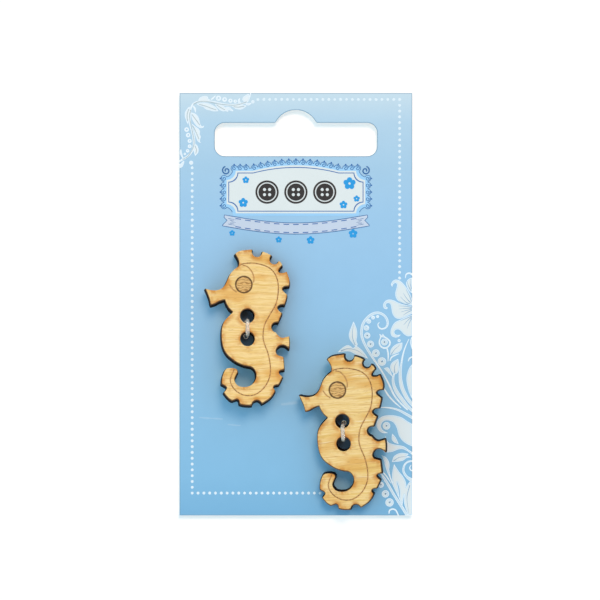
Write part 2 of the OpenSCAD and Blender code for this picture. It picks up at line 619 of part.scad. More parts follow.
// Big scroll round its pearl, with the broad tail to the edge and the strands under it
module big_scroll() {
    blade([18.2, -25.45], [[[17.3, -25.5], [16.5, -25.05], [15.95, -24.1], [16.1, -23.1],
                            [16.8, -22.35], [17.9, -22], [19.4, -22], [20.9, -22.4],
                            [22.1, -23.2], [23.4, -23.9]],
                           [[23.5, -26], [23.4, -28.3]],
                           [[21.9, -27.6], [20.9, -26.8], [20.3, -25.8], [20, -24.6],
                            [19.4, -23.5], [18.5, -23], [17.6, -23], [17, -23.45], [16.8, -24.2],
                            [17.2, -24.95], [18.2, -25.45]]]);
    pearl([17.9, -24.05], 0.74);
    blade([19.05, -25.6], [[[19.6, -26.2], [20, -26.9], [20.3, -27.65]],
                           [[19.4, -27.3], [18.95, -26.6], [19.05, -25.6]]]);
    blade([17.7, -26.1], [[[18.2, -27.25], [19.2, -27.7], [20.4, -27.9], [21.4, -28.15],
                           [22.3, -28.8], [23.4, -29.5]],
                          [[23.4, -30.2]],
                          [[22.1, -29.1], [21.1, -28.65], [20.1, -28.75], [18.9, -29.2], [17.2, -29],
                           [17.7, -26.1]]]);
}

// Leaves in the bottom corner
module lower_leaves() {
    // Feathered leaf
    blade([19, -31.2], [[[19.3, -30.2], [20.1, -29.6], [21.1, -29.4], [22.3, -29.6]],
                        [[21.9, -29.95]],
                        [[22.8, -30.25]],
                        [[21.9, -30.4], [21.2, -30.9], [20.3, -31.1], [19, -31.2]]]);
    blade([16.9, -29.85], [[[17.8, -30.25], [18.35, -31.1], [18.5, -31.9], [18.4, -32.7]],
                           [[17.9, -32.5]],
                           [[17.6, -31.4], [16.9, -29.85]]]);
    stroke([[17.75, -31.3], [18, -32.2], [18.3, -33.2], [18.7, -34.4], [19.3, -35.9], [20, -37.4],
            [20.8, -39.2]], [0.5, 0.5, 0.25, 0.2, 0.12]);
    difference() {
        blade([21.05, -39.9], [[[20.6, -38.6], [20, -37.2], [19.35, -35.9], [19.05, -34.6],
                                [19.05, -33.3], [19.4, -31.6]],
                               [[20.3, -33], [21.2, -34.1], [21.75, -35.3], [21.8, -36.6],
                                [21.4, -37.8], [21.15, -39], [21.05, -39.9]]]);
        stroke([[20, -35.2], [20.4, -36.7], [20.45, -38.3]], [0.12, 0.22, 0.12]);
    }
    blade([23.5, -34.5], [[[22.4, -35.2], [21.75, -36.4], [21.4, -38], [21.4, -39.4],
                           [21.8, -40.7], [22.4, -42.2]],
                          [[23.6, -42.2]],
                          [[23.5, -34.5]]]);
}

// Curls, the long stem and its pearls in the bottom corner
module lower_stems() {
    stroke([[23.3, -31], [22.3, -31.1], [21.6, -31.6], [21.25, -32.5], [21.4, -33.4], [22.1, -34.3],
            [23.3, -35]], [0.3, 0.35, 0.4, 0.45, 0.8]);
    stroke([[22.8, -31.8], [22.5, -32.3], [22.7, -32.8], [23.3, -33]], [0.15, 0.25, 0.25]);
    stroke([[16.4, -33.1], [17.3, -34.2], [18.3, -35.8], [19.4, -37.7], [20.5, -39.4], [21.4, -40.8],
            [22.2, -42.2]], [0.2, 0.5, 0.5, 0.55, 0.5]);
    stroke([[17, -33], [17.9, -34], [18.8, -35.4]], [0.15, 0.25, 0.12]);
    pearl([16.8, -35.7], 0.58);
    pearl([17.7, -37.5], 0.72);
    pearl([18.5, -39.2], 0.82);
    stroke([[18.4, -41.4], [18.5, -40.8], [19.1, -40.5], [19.8, -40.8], [20.3, -41.9]],
           [0.2, 0.3, 0.3, 0.25]);
}

// Plain label under the slot

plaque_top = slot_bottom - plaque_drop;
plaque_y = plaque_top - plaque_h / 2;
arch_span = plaque_w * 0.62;
ribbon_droop = 1.6;
ribbon_half = plaque_w / 2 + 0.6;
// Outer end of the edging's straight bottom, which is where the ribbon comes closest to it
edging_end = plaque_w / 2 + edging_w - plaque_r;
ribbon_mid = plaque_top - plaque_h - edging_w - ribbon_gap - ribbon_w / 2
    - ribbon_droop / 2 + ribbon_droop * cos(90 * edging_end / ribbon_half);

// Plaque with hollow corners and an arched top, grown by a margin all round
module plaque_shape(grow) {
    w = plaque_w + 2 * grow;
    h = plaque_h + 2 * grow;
    r_arch = (pow(arch_span / 2, 2) + pow(arch_rise, 2)) / (2 * arch_rise);
    translate([0, plaque_y]) {
        difference() {
            square([w, h], center = true);
            for (x = [-1, 1])
                for (y = [-1, 1])
                    translate([x * w / 2, y * h / 2]) circle(r = plaque_r, $fn = 32);
        }
        intersection() {
            translate([0, plaque_h / 2 + arch_rise - r_arch]) circle(r = r_arch + grow, $fn = 96);
            translate([-arch_span / 2 - 1.5, 0]) square([arch_span + 3, plaque_h]);
        }
    }
}

// Scallops along the arch, the shoulders beside it and the upright sides of the edging
module scallops() {
    w = plaque_w / 2 + edging_w;
    h = plaque_h / 2 + edging_w;
    arch_r = (pow(arch_span / 2, 2) + pow(arch_rise, 2)) / (2 * arch_rise) + edging_w;
    arch_mid = plaque_top + arch_rise + edging_w - arch_r;
    arch_end = asin((arch_span / 2 - 0.3) / arch_r);
    n = floor(arch_r * arch_end * PI / 180 / scallop_pitch);
    for (k = [-n : n])
        translate([0, arch_mid]) rotate(-k * arch_end / n) translate([0, arch_r]) scallop();
    for (side = [-1, 1]) {
        scallop_row([side * (arch_span / 2 + scallop_pitch), plaque_y + h],
                    [side * (w - plaque_r - 0.2), plaque_y + h]);
        scallop_row([side * w, plaque_y + h - plaque_r - 0.2],
                    [side * w, plaque_y - h + plaque_r + 0.2]);
    }
}

module scallop() {
    circle(r = scallop_r, $fn = 20);
}

module scallop_row(from, to) {
    n = max(1, round(norm(to - from) / scallop_pitch));
    for (k = [0 : n]) translate(from + (to - from) * k / n) scallop();
}

// Flower of five round petals
module blossom(at, r) {
    translate(at) difference() {
        union() {
            for (k = [0 : 4]) rotate(90 + 72 * k) translate([r * 0.58, 0]) circle(r = r * 0.42, $fn = 10);
            circle(r = r * 0.45, $fn = 10);
        }
        circle(r = r * 0.2, $fn = 6);
    }
}

// Height of the ribbon's middle line at x
function ribbon_y(x) = ribbon_mid + ribbon_droop / 2 - ribbon_droop * cos(90 * x / ribbon_half);

// Place of a blossom of radius r that hangs under the ribbon at x
function under_ribbon(x, r, gap) = [x, ribbon_y(x) - ribbon_w / 2 - gap - r];

// Place of a blossom of radius r inside the plaque, off the hollow corner on the sides sx and sy
function by_corner(sx, sy, r, gap, angle) =
    [sx * (plaque_w / 2 - line_in - line_w - (plaque_r + gap + r) * cos(angle)),
     plaque_y + sy * (plaque_h / 2 - line_in - line_w - (plaque_r + gap + r) * sin(angle))];

module card() {
    color(sky_blue) difference() {
        slotted_board();
        in_button(upper_at, upper_lean)
            for (side = [-1, 1]) leg(upper_at, upper_lean, side, wire_d + 2 * pierce_gap);
        in_button(lower_at, lower_lean)
            for (side = [-1, 1]) leg(lower_at, lower_lean, side, wire_d + 2 * pierce_gap);
    }
}

module print_dot_border() {
    left = dot_in - right_x;
    right = right_x - dot_in;
    upper = top_y - dot_top;
    lower = dot_bottom - top_y;
    ink("white") {
        dot_row([left, top_y - 14.8], [left, lower]);
        dot_row([left + dot_pitch, lower], [right - 15.7, lower]);
        dot_row([left + 13, upper], [right, upper]);
        dot_row([right, upper - dot_pitch], [right, lower + 42.5]);
    }
}

module print_corner_sprig() {
    ink(ink_white) on_card() from_top_left() sprig_shapes();
}

module print_floral_scroll() {
    ink(ink_white) on_card() from_bottom_right() scroll_shapes();
}

module print_plaque_edging() {
    ink(ink_cyan) {
        plaque_shape(edging_w);
        scallops();
    }
}

module print_plaque() {
    ink(ink_white, 1) plaque_shape(0);
}

module print_plaque_line() {
    ink(ink_navy, 2) difference() {
        plaque_shape(-line_in);
        plaque_shape(-line_in - line_w);
    }
}

module print_button_discs() {
    ink(ink_charcoal, 2)
        for (k = [-1, 0, 1]) translate([k * disc_pitch, plaque_y]) {
            difference() {
                circle(r = disc_r, $fn = 28);
                circle(r = disc_r * 0.84, $fn = 28);
            }
            difference() {
                circle(r = disc_r * 0.74, $fn = 28);
                for (x = [-1, 1])
                    for (y = [-1, 1])
                        translate([x, y] * disc_r * 0.22) circle(r = disc_r * 0.14, $fn = 8);
            }
        }
}

module print_ribbon() {
    ink(ink_ribbon) difference() {
        stroke([for (t = [-1 : 0.25 : 1]) [t * ribbon_half, ribbon_y(t * ribbon_half)]],
               [ribbon_w, ribbon_w]);
        for (side = [-1, 1])
            translate([side * (ribbon_half + 0.4), ribbon_mid + ribbon_droop / 2])
                circle(r = ribbon_w / 2, $fn = 4);
    }
}

module print_ribbon_stitches() {
    n = floor((ribbon_half - 2) / stitch_pitch);
    ink(ink_navy, 1)
        for (off = [-1, 1] * (ribbon_w / 2 - 0.3))
            for (k = [-n : n])
                let (x = k * stitch_pitch,
                     slope = atan2(ribbon_droop * sin(90 * x / ribbon_half), ribbon_half) * 1.4)
                translate([x, ribbon_y(x) + off])
                    rotate(slope) square([stitch_pitch * 0.58, 0.16], center = true);
}

module print_blossoms() {
    ink(ink_azure, 2) {
        blossom(by_corner(-1, -1, 0.95, 0.47, 30), 0.95);
        blossom(by_corner(-1, 1, 0.7, 1.05, 21.5), 0.7);
        blossom(by_corner(1, 1, 1.25, 0.23, 37.5), 1.25);
        blossom(by_corner(1, -1, 0.8, 1.38, 17.5), 0.8);
        blossom(by_corner(1, -1, 0.65, 0.23, 63.5), 0.65);
    }
    ink(ink_azure) {
        blossom(under_ribbon(-3.4, 0.65, 0.56), 0.65);
        blossom(under_ribbon(2.9, 0.8, 0.48), 0.8);
        blossom(under_ribbon(ribbon_half - 3, 0.9, 0.1), 0.9);
        blossom(under_ribbon(1.7 - ribbon_half, 0.6, 0.5), 0.6);
    }
}

module button_upper() {
    color(birch) in_button(upper_at, upper_lean) seahorse();
}

module button_lower() {
    color(birch) in_button(lower_at, lower_lean) seahorse();
}

module staple_upper() {
    color(nylon) staple(upper_at, upper_lean);
}

module staple_lower() {
    color(nylon) staple(lower_at, lower_lean);
}

card();
print_dot_border();
print_corner_sprig();
print_floral_scroll();
print_plaque_edging();
print_plaque();
print_plaque_line();
print_button_discs();
print_ribbon();
print_ribbon_stitches();
print_blossoms();
button_upper();
button_lower();
staple_upper();
staple_lower();
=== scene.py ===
# %% [markdown]
# # A hang card with two wooden seahorse buttons
# Haberdashery is sold on printed cards like this one. The board is half a millimetre thick and
# satin from its coating, the seahorses are cut from birch plywood by a laser, and a loop of clear
# nylon holds each of them through its two holes.
#
# The CAD model brings every true size. This script dresses it: it gives each surface its finish,
# and it swaps a solid for a finer mesh where a finish needs points to hang its values on.
# Everything is in metres, in the frame of the CAD model, with X across the card, Y up to the
# hang slot and Z out of the printed face.

import math

import bmesh
import bpy
import numpy as np
from mathutils import Matrix, Vector
from mathutils.geometry import delaunay_2d_cdt


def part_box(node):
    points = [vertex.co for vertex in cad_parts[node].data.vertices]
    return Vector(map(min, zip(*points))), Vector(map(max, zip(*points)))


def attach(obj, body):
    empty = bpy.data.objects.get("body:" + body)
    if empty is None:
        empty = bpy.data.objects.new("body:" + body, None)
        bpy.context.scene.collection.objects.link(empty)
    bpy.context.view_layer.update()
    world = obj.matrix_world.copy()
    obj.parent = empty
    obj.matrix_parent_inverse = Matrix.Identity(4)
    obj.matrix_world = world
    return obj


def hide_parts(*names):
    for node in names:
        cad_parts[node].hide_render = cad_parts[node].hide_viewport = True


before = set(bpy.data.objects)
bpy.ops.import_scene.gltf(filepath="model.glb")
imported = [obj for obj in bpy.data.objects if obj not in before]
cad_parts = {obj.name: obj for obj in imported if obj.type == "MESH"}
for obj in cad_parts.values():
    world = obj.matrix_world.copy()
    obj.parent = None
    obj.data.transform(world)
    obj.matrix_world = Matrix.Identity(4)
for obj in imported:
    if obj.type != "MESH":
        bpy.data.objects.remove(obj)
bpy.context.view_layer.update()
scene = bpy.context.scene
MM = 0.001

# %% [markdown]
# ## The camera
# The photograph looks straight down on the card. A phone held close would spread the sides of the
# buttons outwards. A long lens from far off keeps them narrow, as in the photograph, so the camera
# stands 0.6 m up and its lens is worked out from the width that the picture shows.

# %% Camera
CARD_FACE = 1.52 * MM
SHOWN_WIDTH = 118.6 * MM
SHOWN_CENTRE = (0.81 * MM, 0.82 * MM)
CAMERA_HEIGHT = 0.6
SENSOR = 36


def add_object(name, data):
    """Puts an object with this data into the scene."""
    made = bpy.data.objects.new(name, data)
    scene.collection.objects.link(made)
    return made


camera_data = bpy.data.cameras.new("camera")
camera_data.sensor_width = SENSOR
camera_data.lens = SENSOR * CAMERA_HEIGHT / SHOWN_WIDTH
camera = add_object("camera", camera_data)
camera.location = (*SHOWN_CENTRE, CARD_FACE + CAMERA_HEIGHT)
scene.camera = camera
print("lens in mm:", round(camera_data.lens, 1))

# %% [markdown]
# ## Small helpers for node trees
# A material is a tree of nodes. Making each node by hand takes four or five lines, which hides
# what the tree does. One helper that makes a node, sets its fields and feeds its inputs lets a
# material be read from top to bottom like a recipe. An input is fed a plain value, or the output
# of another node.

# %% Node helpers
def feed(tree, socket, value):
    """Joins an input to another node's output, or sets it to a plain value."""
    if isinstance(value, bpy.types.NodeSocket):
        tree.links.new(value, socket)
    else:
        socket.default_value = value


def node(tree, kind, inputs=None, **fields):
    """Adds a node, sets its fields and feeds its inputs."""
    made = tree.nodes.new(kind)
    for name, value in fields.items():
        setattr(made, name, value)
    for name, value in (inputs or {}).items():
        feed(tree, made.inputs[name], value)
    return made


def sums(tree, operation, a, b=0.0, clamp=False):
    """One step of arithmetic."""
    made = node(tree, "ShaderNodeMath", {0: a, 1: b}, operation=operation, use_clamp=clamp)
    return made.outputs[0]


def times(tree, a, b):
    """Two values multiplied. Two masks multiplied leave only what lies in both."""
    return sums(tree, "MULTIPLY", a, b)


def blend_colours(tree, amount, a, b):
    """Goes from colour a to colour b, which are the seventh and eighth inputs of a Mix node."""
    made = node(tree, "ShaderNodeMix", {"Factor": amount, 6: a, 7: b}, data_type="RGBA")
    return made.outputs[2]


def noise(tree, vector, scale, detail=2.0, roughness=0.5):
    """Soft random values from 0 to 1."""
    made = node(
        tree,
        "ShaderNodeTexNoise",
        {"Vector": vector, "Scale": scale, "Detail": detail, "Roughness": roughness},
    )
    return made.outputs["Fac"]


def empty_tree(owner):
    """The node tree of a material or a world, without the nodes that it starts with."""
    owner.use_nodes = True
    owner.node_tree.nodes.clear()
    return owner.node_tree


# %% [markdown]
# ## Light
# The photograph was cut out on white, with soft light that comes most strongly from the top of
# the picture. Its shadows are bluer than the light, so the sky is blue and the key light warm,
# and together they are white. A broad weak light from the left opens the shadows. All of them
# together light a flat white sheet to just about white, so a colour renders about as it is
# written. One more light from below does the same for the back, which only the sky reaches.
#
# A lamp close by would light one end of the card more than the other, so each lamp is a sun. It
# is given by the direction that it shines from, its share of the light on a flat sheet, its
# colour and the angle that it spreads over, which softens its shadows. The camera sees white
# where there is no floor, and so does anything that mirrors the surroundings or lets them through.

# %% Sky and lamps
SKY = (0.50, 0.665, 0.765, 1.0)
WHITE = (1.0, 1.0, 1.0, 1.0)
LAMPS = [
    ("key_light", (0.14, 0.47, 0.87), 0.43, (1.0, 0.62, 0.41), 22),
    ("fill_light", (-0.52, 0.10, 0.85), 0.08, (0.55, 0.95, 1.0), 50),
    ("under_light", (0.10, 0.20, -0.97), 0.47, (1.0, 0.68, 0.48), 60),
]

scene.view_settings.view_transform = "Standard"
scene.world = bpy.data.worlds.new("pale_sky")
tree = empty_tree(scene.world)
rays = node(tree, "ShaderNodeLightPath").outputs
seen = sums(tree, "MAXIMUM", rays["Is Camera Ray"], rays["Is Glossy Ray"])
seen = sums(tree, "MAXIMUM", seen, rays["Is Transmission Ray"])
shine = blend_colours(tree, seen, SKY, WHITE)
shine = node(tree, "ShaderNodeBackground", {"Color": shine})
node(tree, "ShaderNodeOutputWorld", {"Surface": shine.outputs[0]})

for name, direction, share, colour, spread in LAMPS:
    lamp_data = bpy.data.lights.new(name, "SUN")
    lamp_data.energy = share * math.pi / abs(direction[2])
    lamp_data.color = colour
    lamp_data.angle = math.radians(spread)
    lamp = add_object(name, lamp_data)
    lamp.rotation_mode = "QUATERNION"
    lamp.rotation_quaternion = (-Vector(direction)).to_track_quat("-Z", "Y")

for face, side in (("front", 1), ("back", -1)):
    light = np.array(SKY[:3])
    for _, direction, share, colour, _ in LAMPS:
        if direction[2] * side > 0:
            light = light + share * np.array(colour)
    print("light on a flat sheet's", face, light.round(2))

# %% [markdown]
# ## The floor
# The floor is a white sheet, so that the card lies on white as in the photograph. It takes the
# object's shadow, but it throws none and sends no light back, and seen from below it is clear, so
# that the back of the card can be looked at too. A little glow that only the camera sees lifts it
# from pale grey to white.

# %% White floor
FLOOR_HALF = 1.5
FLOOR_GLOW = 0.16

floor_mesh = bpy.data.meshes.new("floor")
corners = [(x * FLOOR_HALF, y * FLOOR_HALF, 0) for x, y in ((-1, -1), (1, -1), (1, 1), (-1, 1))]
floor_mesh.from_pydata(corners, [], [(0, 1, 2, 3)])
floor = add_object("floor", floor_mesh)
white_sweep = bpy.data.materials.new("white_sweep")
tree = empty_tree(white_sweep)
place = node(tree, "ShaderNodeTexCoord").outputs["Object"]
speckle = noise(tree, place, 40, 3)
paper = blend_colours(tree, speckle, (0.90, 0.90, 0.90, 1), (0.93, 0.93, 0.93, 1))
matt = node(tree, "ShaderNodeBsdfDiffuse", {"Color": paper})
lift = times(tree, node(tree, "ShaderNodeLightPath").outputs["Is Camera Ray"], FLOOR_GLOW)
glow = node(tree, "ShaderNodeEmission", {"Color": WHITE, "Strength": lift})
lit = node(tree, "ShaderNodeAddShader", {0: matt.outputs[0], 1: glow.outputs[0]})
clear = node(tree, "ShaderNodeBsdfTransparent")
below = node(tree, "ShaderNodeNewGeometry").outputs["Backfacing"]
one_sided = node(
    tree, "ShaderNodeMixShader", {0: below, 1: lit.outputs[0], 2: clear.outputs[0]}
)
node(tree, "ShaderNodeOutputMaterial", {"Surface": one_sided.outputs[0]})
floor_mesh.materials.append(white_sweep)
floor.visible_diffuse = False
floor.visible_shadow = False
print("floor:", 2 * FLOOR_HALF, "m wide, material", white_sweep.name)

# %% [markdown]
# ## Steps that most finishes share
# A finish is a colour, a roughness and a relief, and all three change a little over a surface.
# The steps here are the ones that nearly every finish takes. A colour is read off the photograph
# in the numbers that a screen shows, but a shader counts light, so it is made linear first. A
# mask goes softly from one value to another, a ramp gives a value its colours, and noise that is
# drawn out along one axis turns into fibres and streaks.

# %% Helpers for finishes
def srgb(r, g, b):
    """A colour read off the photograph, as the linear numbers that shaders work in."""
    linear = []
    for c in (r / 255, g / 255, b / 255):
        linear.append(c / 12.92 if c <= 0.04045 else ((c + 0.055) / 1.055) ** 2.4)
    return (*linear, 1.0)


def ease(tree, value, start, end, low=0.0, high=1.0):
    """Goes smoothly from low to high while the value goes from start to end."""
    made = node(
        tree,
        "ShaderNodeMapRange",
        {"Value": value, "From Min": start, "From Max": end, "To Min": low, "To Max": high},
        interpolation_type="SMOOTHSTEP",
    )
    return made.outputs["Result"]


def ramp(tree, value, stops):
    """Colours along a value from 0 to 1, as a list of places and colours."""
    made = node(tree, "ShaderNodeValToRGB", {"Fac": value})
    points = made.color_ramp.elements
    while len(points) < len(stops):
        points.new(0.5)
    for point, (place, colour) in zip(points, stops):
        point.position = place
        point.color = srgb(*colour)
    return made.outputs["Color"]


def streaked(tree, vector, scale, detail, roughness=0.5, shift=(0, 0, 0)):
    """Soft random values with a scale for each axis. A small one draws them out along its axis."""
    drawn = node(tree, "ShaderNodeMapping", {"Vector": vector, "Scale": scale, "Location": shift})
    return noise(tree, drawn.outputs["Vector"], 1.0, detail, roughness)


def new_material(name):
    """An empty material with its shader joined to the output."""
    made = bpy.data.materials.new(name)
    tree = empty_tree(made)
    shader = node(tree, "ShaderNodeBsdfPrincipled")
    node(tree, "ShaderNodeOutputMaterial", {"Surface": shader.outputs["BSDF"]})
    return made, tree, shader


def surface(tree, shader, colour, roughness, height, depth, specular=0.5):
    """Feeds a shader its colour and roughness, and a height from 0 to 1 as relief that deep."""
    feed(tree, shader.inputs["Base Color"], colour)
    feed(tree, shader.inputs["Roughness"], roughness)
    relief = node(tree, "ShaderNodeBump", {"Height": height, "Strength": 1.0, "Distance": depth})
    feed(tree, shader.inputs["Normal"], relief.outputs["Normal"])
    shader.inputs["Specular IOR Level"].default_value = specular


print("a screen's mid grey is", round(srgb(128, 128, 128)[0], 3), "in linear light")

# %% [markdown]
# ## What all printed paper shares
# Ink on coated board is never quite even. Close up it has a fine tooth from the fibres below it,
# and from further off it clouds a little where the ink lay thicker. Each ink on the card shows
# both, so they are one group of nodes, and each material decides how strongly it uses them. A
# group is a small tree of its own with named inputs and outputs, built once and placed as a node.

# %% Groups of shader nodes
FLOAT, VECTOR, COLOUR = "NodeSocketFloat", "NodeSocketVector", "NodeSocketColor"


def new_group(name, inputs, outputs):
    """A group of shader nodes with named inputs and outputs."""
    tree = bpy.data.node_groups.new(name, "ShaderNodeTree")
    for label, kind, value in inputs:
        socket = tree.interface.new_socket(name=label, in_out="INPUT", socket_type=kind)
        if value is not None:
            socket.default_value = value
    for label, kind in outputs:
        tree.interface.new_socket(name=label, in_out="OUTPUT", socket_type=kind)
    given = tree.nodes.new("NodeGroupInput").outputs
    return tree, given, tree.nodes.new("NodeGroupOutput").inputs


def use_group(tree, group, inputs):
    """Places a group in a tree and gives its outputs."""
    made = tree.nodes.new("ShaderNodeGroup")
    made.node_tree = group
    for name, value in inputs.items():
        feed(tree, made.inputs[name], value)
    return made.outputs


# %% The grain of printed paper
paper_grain, given, out = new_group(
    "paper_grain",
    [("Vector", VECTOR, None), ("Colour", COLOUR, WHITE), ("Clouding", FLOAT, 0.05)],
    [("Colour", COLOUR), ("Tooth", FLOAT), ("Clouds", FLOAT)],
)
tooth = noise(paper_grain, given["Vector"], 5200, 3, 0.6)
clouds = noise(paper_grain, given["Vector"], 260, 4, 0.6)
shade = node(
    paper_grain,
    "ShaderNodeMapRange",
    {
        "Value": sums(paper_grain, "ADD", times(paper_grain, tooth, 0.4), clouds),
        "From Min": 0.35,
        "From Max": 1.05,
        "To Min": sums(paper_grain, "SUBTRACT", 1.0, given["Clouding"]),
        "To Max": sums(paper_grain, "ADD", 1.0, given["Clouding"]),
    },
)
tinted = node(
    paper_grain,
    "ShaderNodeVectorMath",
    {0: given["Colour"], "Scale": shade.outputs["Result"]},
    operation="SCALE",
)
feed(paper_grain, out["Colour"], tinted.outputs["Vector"])
feed(paper_grain, out["Tooth"], tooth)
feed(paper_grain, out["Clouds"], clouds)
print("group", paper_grain.name, "has", len(paper_grain.nodes), "nodes")

# %% [markdown]
# ## Creases in the board
# A card that has been carried about has short pale creases where its coating has cracked. One is
# a thin soft-ended line. The group measures how far a point is from a stretch of line between
# two ends, and puts out a mask. The card uses it three times.

# %% A crease as a mask
def vector_sum(tree, operation, a, b):
    """One step of arithmetic on vectors. A product or a distance comes out as one number."""
    made = node(tree, "ShaderNodeVectorMath", {0: a, 1: b}, operation=operation)
    return made.outputs["Value" if operation in ("DOT_PRODUCT", "DISTANCE") else "Vector"]


crease, given, out = new_group(
    "crease",
    [
        ("Vector", VECTOR, None),
        ("From", VECTOR, None),
        ("To", VECTOR, None),
        ("Width", FLOAT, 0.1 * MM),
    ],
    [("Mask", FLOAT)],
)
along = vector_sum(crease, "SUBTRACT", given["To"], given["From"])
reach = vector_sum(crease, "SUBTRACT", given["Vector"], given["From"])
covered = vector_sum(crease, "DOT_PRODUCT", reach, along)
whole = vector_sum(crease, "DOT_PRODUCT", along, along)
part_way = sums(crease, "DIVIDE", covered, whole, clamp=True)
foot = node(crease, "ShaderNodeVectorMath", {0: along, "Scale": part_way}, operation="SCALE")
away = vector_sum(crease, "DISTANCE", reach, foot.outputs["Vector"])
broken = times(crease, noise(crease, given["Vector"], 900, 2), 1.6)
away = times(crease, away, broken)
feed(crease, out["Mask"], ease(crease, away, 0.0, given["Width"], 1.0, 0.0))
print("group", crease.name, "has", len(crease.nodes), "nodes")

# %% [markdown]
# ## The board
# The printer's blue is not one blue. It fades from a pale blue above the hang slot to a deeper
# sky blue at the foot of the card, so its colour follows the height on the card. The creases lie
# over it, one use of the group for each.

# %% The printed blue
CARD_WIDTH, CARD_HEIGHT = 46 * MM, 83.5 * MM
PRINT_FADE = [
    (-41.75, (117, 178, 218)),
    (-34, (130, 188, 226)),
    (-15, (141, 194, 230)),
    (5, (149, 197, 233)),
    (18, (156, 200, 233)),
    (27, (164, 203, 230)),
    (36, (178, 211, 233)),
    (41.75, (199, 222, 235)),
]
CREASES = [
    ((-19.0, -22.4), (-14.6, -22.7), 0.20),
    ((-13.4, -23.8), (-11.0, -24.0), 0.18),
    ((-2.7, -19.8), (0.0, -19.5), 0.38),
]

printed_card, tree, shader = new_material("printed_card")
place = node(tree, "ShaderNodeTexCoord").outputs["Object"]
xyz = node(tree, "ShaderNodeSeparateXYZ", {"Vector": place}).outputs
up_card = node(
    tree,
    "ShaderNodeMapRange",
    {"Value": xyz["Y"], "From Min": -CARD_HEIGHT / 2, "From Max": CARD_HEIGHT / 2},
)
stops = [(0.5 + y * MM / CARD_HEIGHT, colour) for y, colour in PRINT_FADE]
blue = ramp(tree, up_card.outputs["Result"], stops)
cracked = 0.0
for start, end, width in CREASES:
    start, end = ((x * MM, y * MM, CARD_FACE) for x, y in (start, end))
    crack = {"Vector": place, "From": start, "To": end, "Width": width * MM}
    cracked = sums(tree, "MAXIMUM", cracked, use_group(tree, crease, crack)["Mask"])
blue = blend_colours(tree, times(tree, cracked, 0.16), blue, srgb(232, 242, 248))
print("stops in the blue:", len(PRINT_FADE), "and creases:", len(CREASES))

# %% [markdown]
# ## Painted shade on the print
# Under each button the card lies in shade, and the sewing holes look down into it. That shade is
# painted on the print as a wide dark blue bloom with a smaller, nearly black spot in it, and both
# are masks round the place of a hole. Along the trimmed edges the print is a little darker, so
# that mask follows the distance to the nearest edge of the card.

# %% Painted hole shade and darker edges
HOLE_SHADE_AT = [(-9.50, -2.36), (-9.50, -6.86), (9.14, -23.0), (9.34, -27.5)]
PAINTED_HOLE_SHADE = [
    ((0.0, 0.0), 1.1 * MM, 2.2 * MM, 0.8, (38, 66, 106)),
    ((-0.7, 0.5), 0.3 * MM, 1.5 * MM, 0.9, (14, 16, 22)),
]

# Painted shade: the card under each sewing hole is darkened, as it lies in shade below the button.
for shift, near, far, strength, colour in PAINTED_HOLE_SHADE:
    painted_shade = 0.0
    for x, y in HOLE_SHADE_AT:
        spot = ((x + shift[0]) * MM, (y + shift[1]) * MM, CARD_FACE)
        away = vector_sum(tree, "DISTANCE", place, spot)
        painted_shade = sums(tree, "MAXIMUM", painted_shade, ease(tree, away, near, far, strength, 0.0))
    blue = blend_colours(tree, painted_shade, blue, srgb(*colour))
# The print is darker within about a quarter of a millimetre of the trimmed edges.
from_side = sums(tree, "SUBTRACT", CARD_WIDTH / 2, sums(tree, "ABSOLUTE", xyz["X"]))
from_end = sums(tree, "SUBTRACT", CARD_HEIGHT / 2, sums(tree, "ABSOLUTE", xyz["Y"]))
from_edge = sums(tree, "MINIMUM", from_side, from_end)
edge_darkening = ease(tree, from_edge, 0.06 * MM, 0.26 * MM, 0.6, 0.0)
blue = blend_colours(tree, edge_darkening, blue, srgb(112, 152, 180))
# These spots are painted shade under the sewing holes.
print("soot spots:", len(HOLE_SHADE_AT) * len(PAINTED_HOLE_SHADE))

# %% [markdown]
# ## Bare board
# The card's edges and its back are bare board, greyish white with short fibres. One material
# does the whole card, because the CAD card is one solid: the height above the floor tells the
# printed face from the rest. The coating is satin and the bare board is dull.

# %% Card material
TOOTH_DEPTH = 0.004 * MM

coated = use_group(tree, paper_grain, {"Vector": place, "Colour": blue, "Clouding": 0.016})
fibres = streaked(tree, place, (2600, 1040, 2600), 4, 0.65)
bare = ramp(tree, fibres, [(0.3, (218, 213, 204)), (0.5, (232, 228, 220)), (0.75, (241, 239, 234))])
on_face = ease(tree, xyz["Z"], CARD_FACE - 0.020 * MM, CARD_FACE - 0.004 * MM)
gloss = ease(tree, coated["Clouds"], 0.3, 0.7, 0.38, 0.46)
satin = node(tree, "ShaderNodeMix", {"Factor": on_face, 2: 0.88, 3: gloss}, data_type="FLOAT")
surface(
    tree,
    shader,
    blend_colours(tree, on_face, bare, coated["Colour"]),
    satin.outputs[0],
    sums(tree, "SUBTRACT", coated["Tooth"], times(tree, cracked, 2.0)),
    TOOTH_DEPTH,
    specular=0.4,
)


def dress(node_name, material):
    """Gives a CAD node its finish."""
    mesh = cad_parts[node_name].data
    mesh.materials.clear()
    mesh.materials.append(material)


dress("card", printed_card)
print(printed_card.name, "has", len(tree.nodes), "nodes")

# %% [markdown]
# ## The inks
# Each ink is a thin layer with a colour of its own, a little less smooth than the coating. Making
# them from one recipe keeps their grain alike, as it is on a real print, where it comes from the
# board below. Only the colour, the clouding and the roughness change.

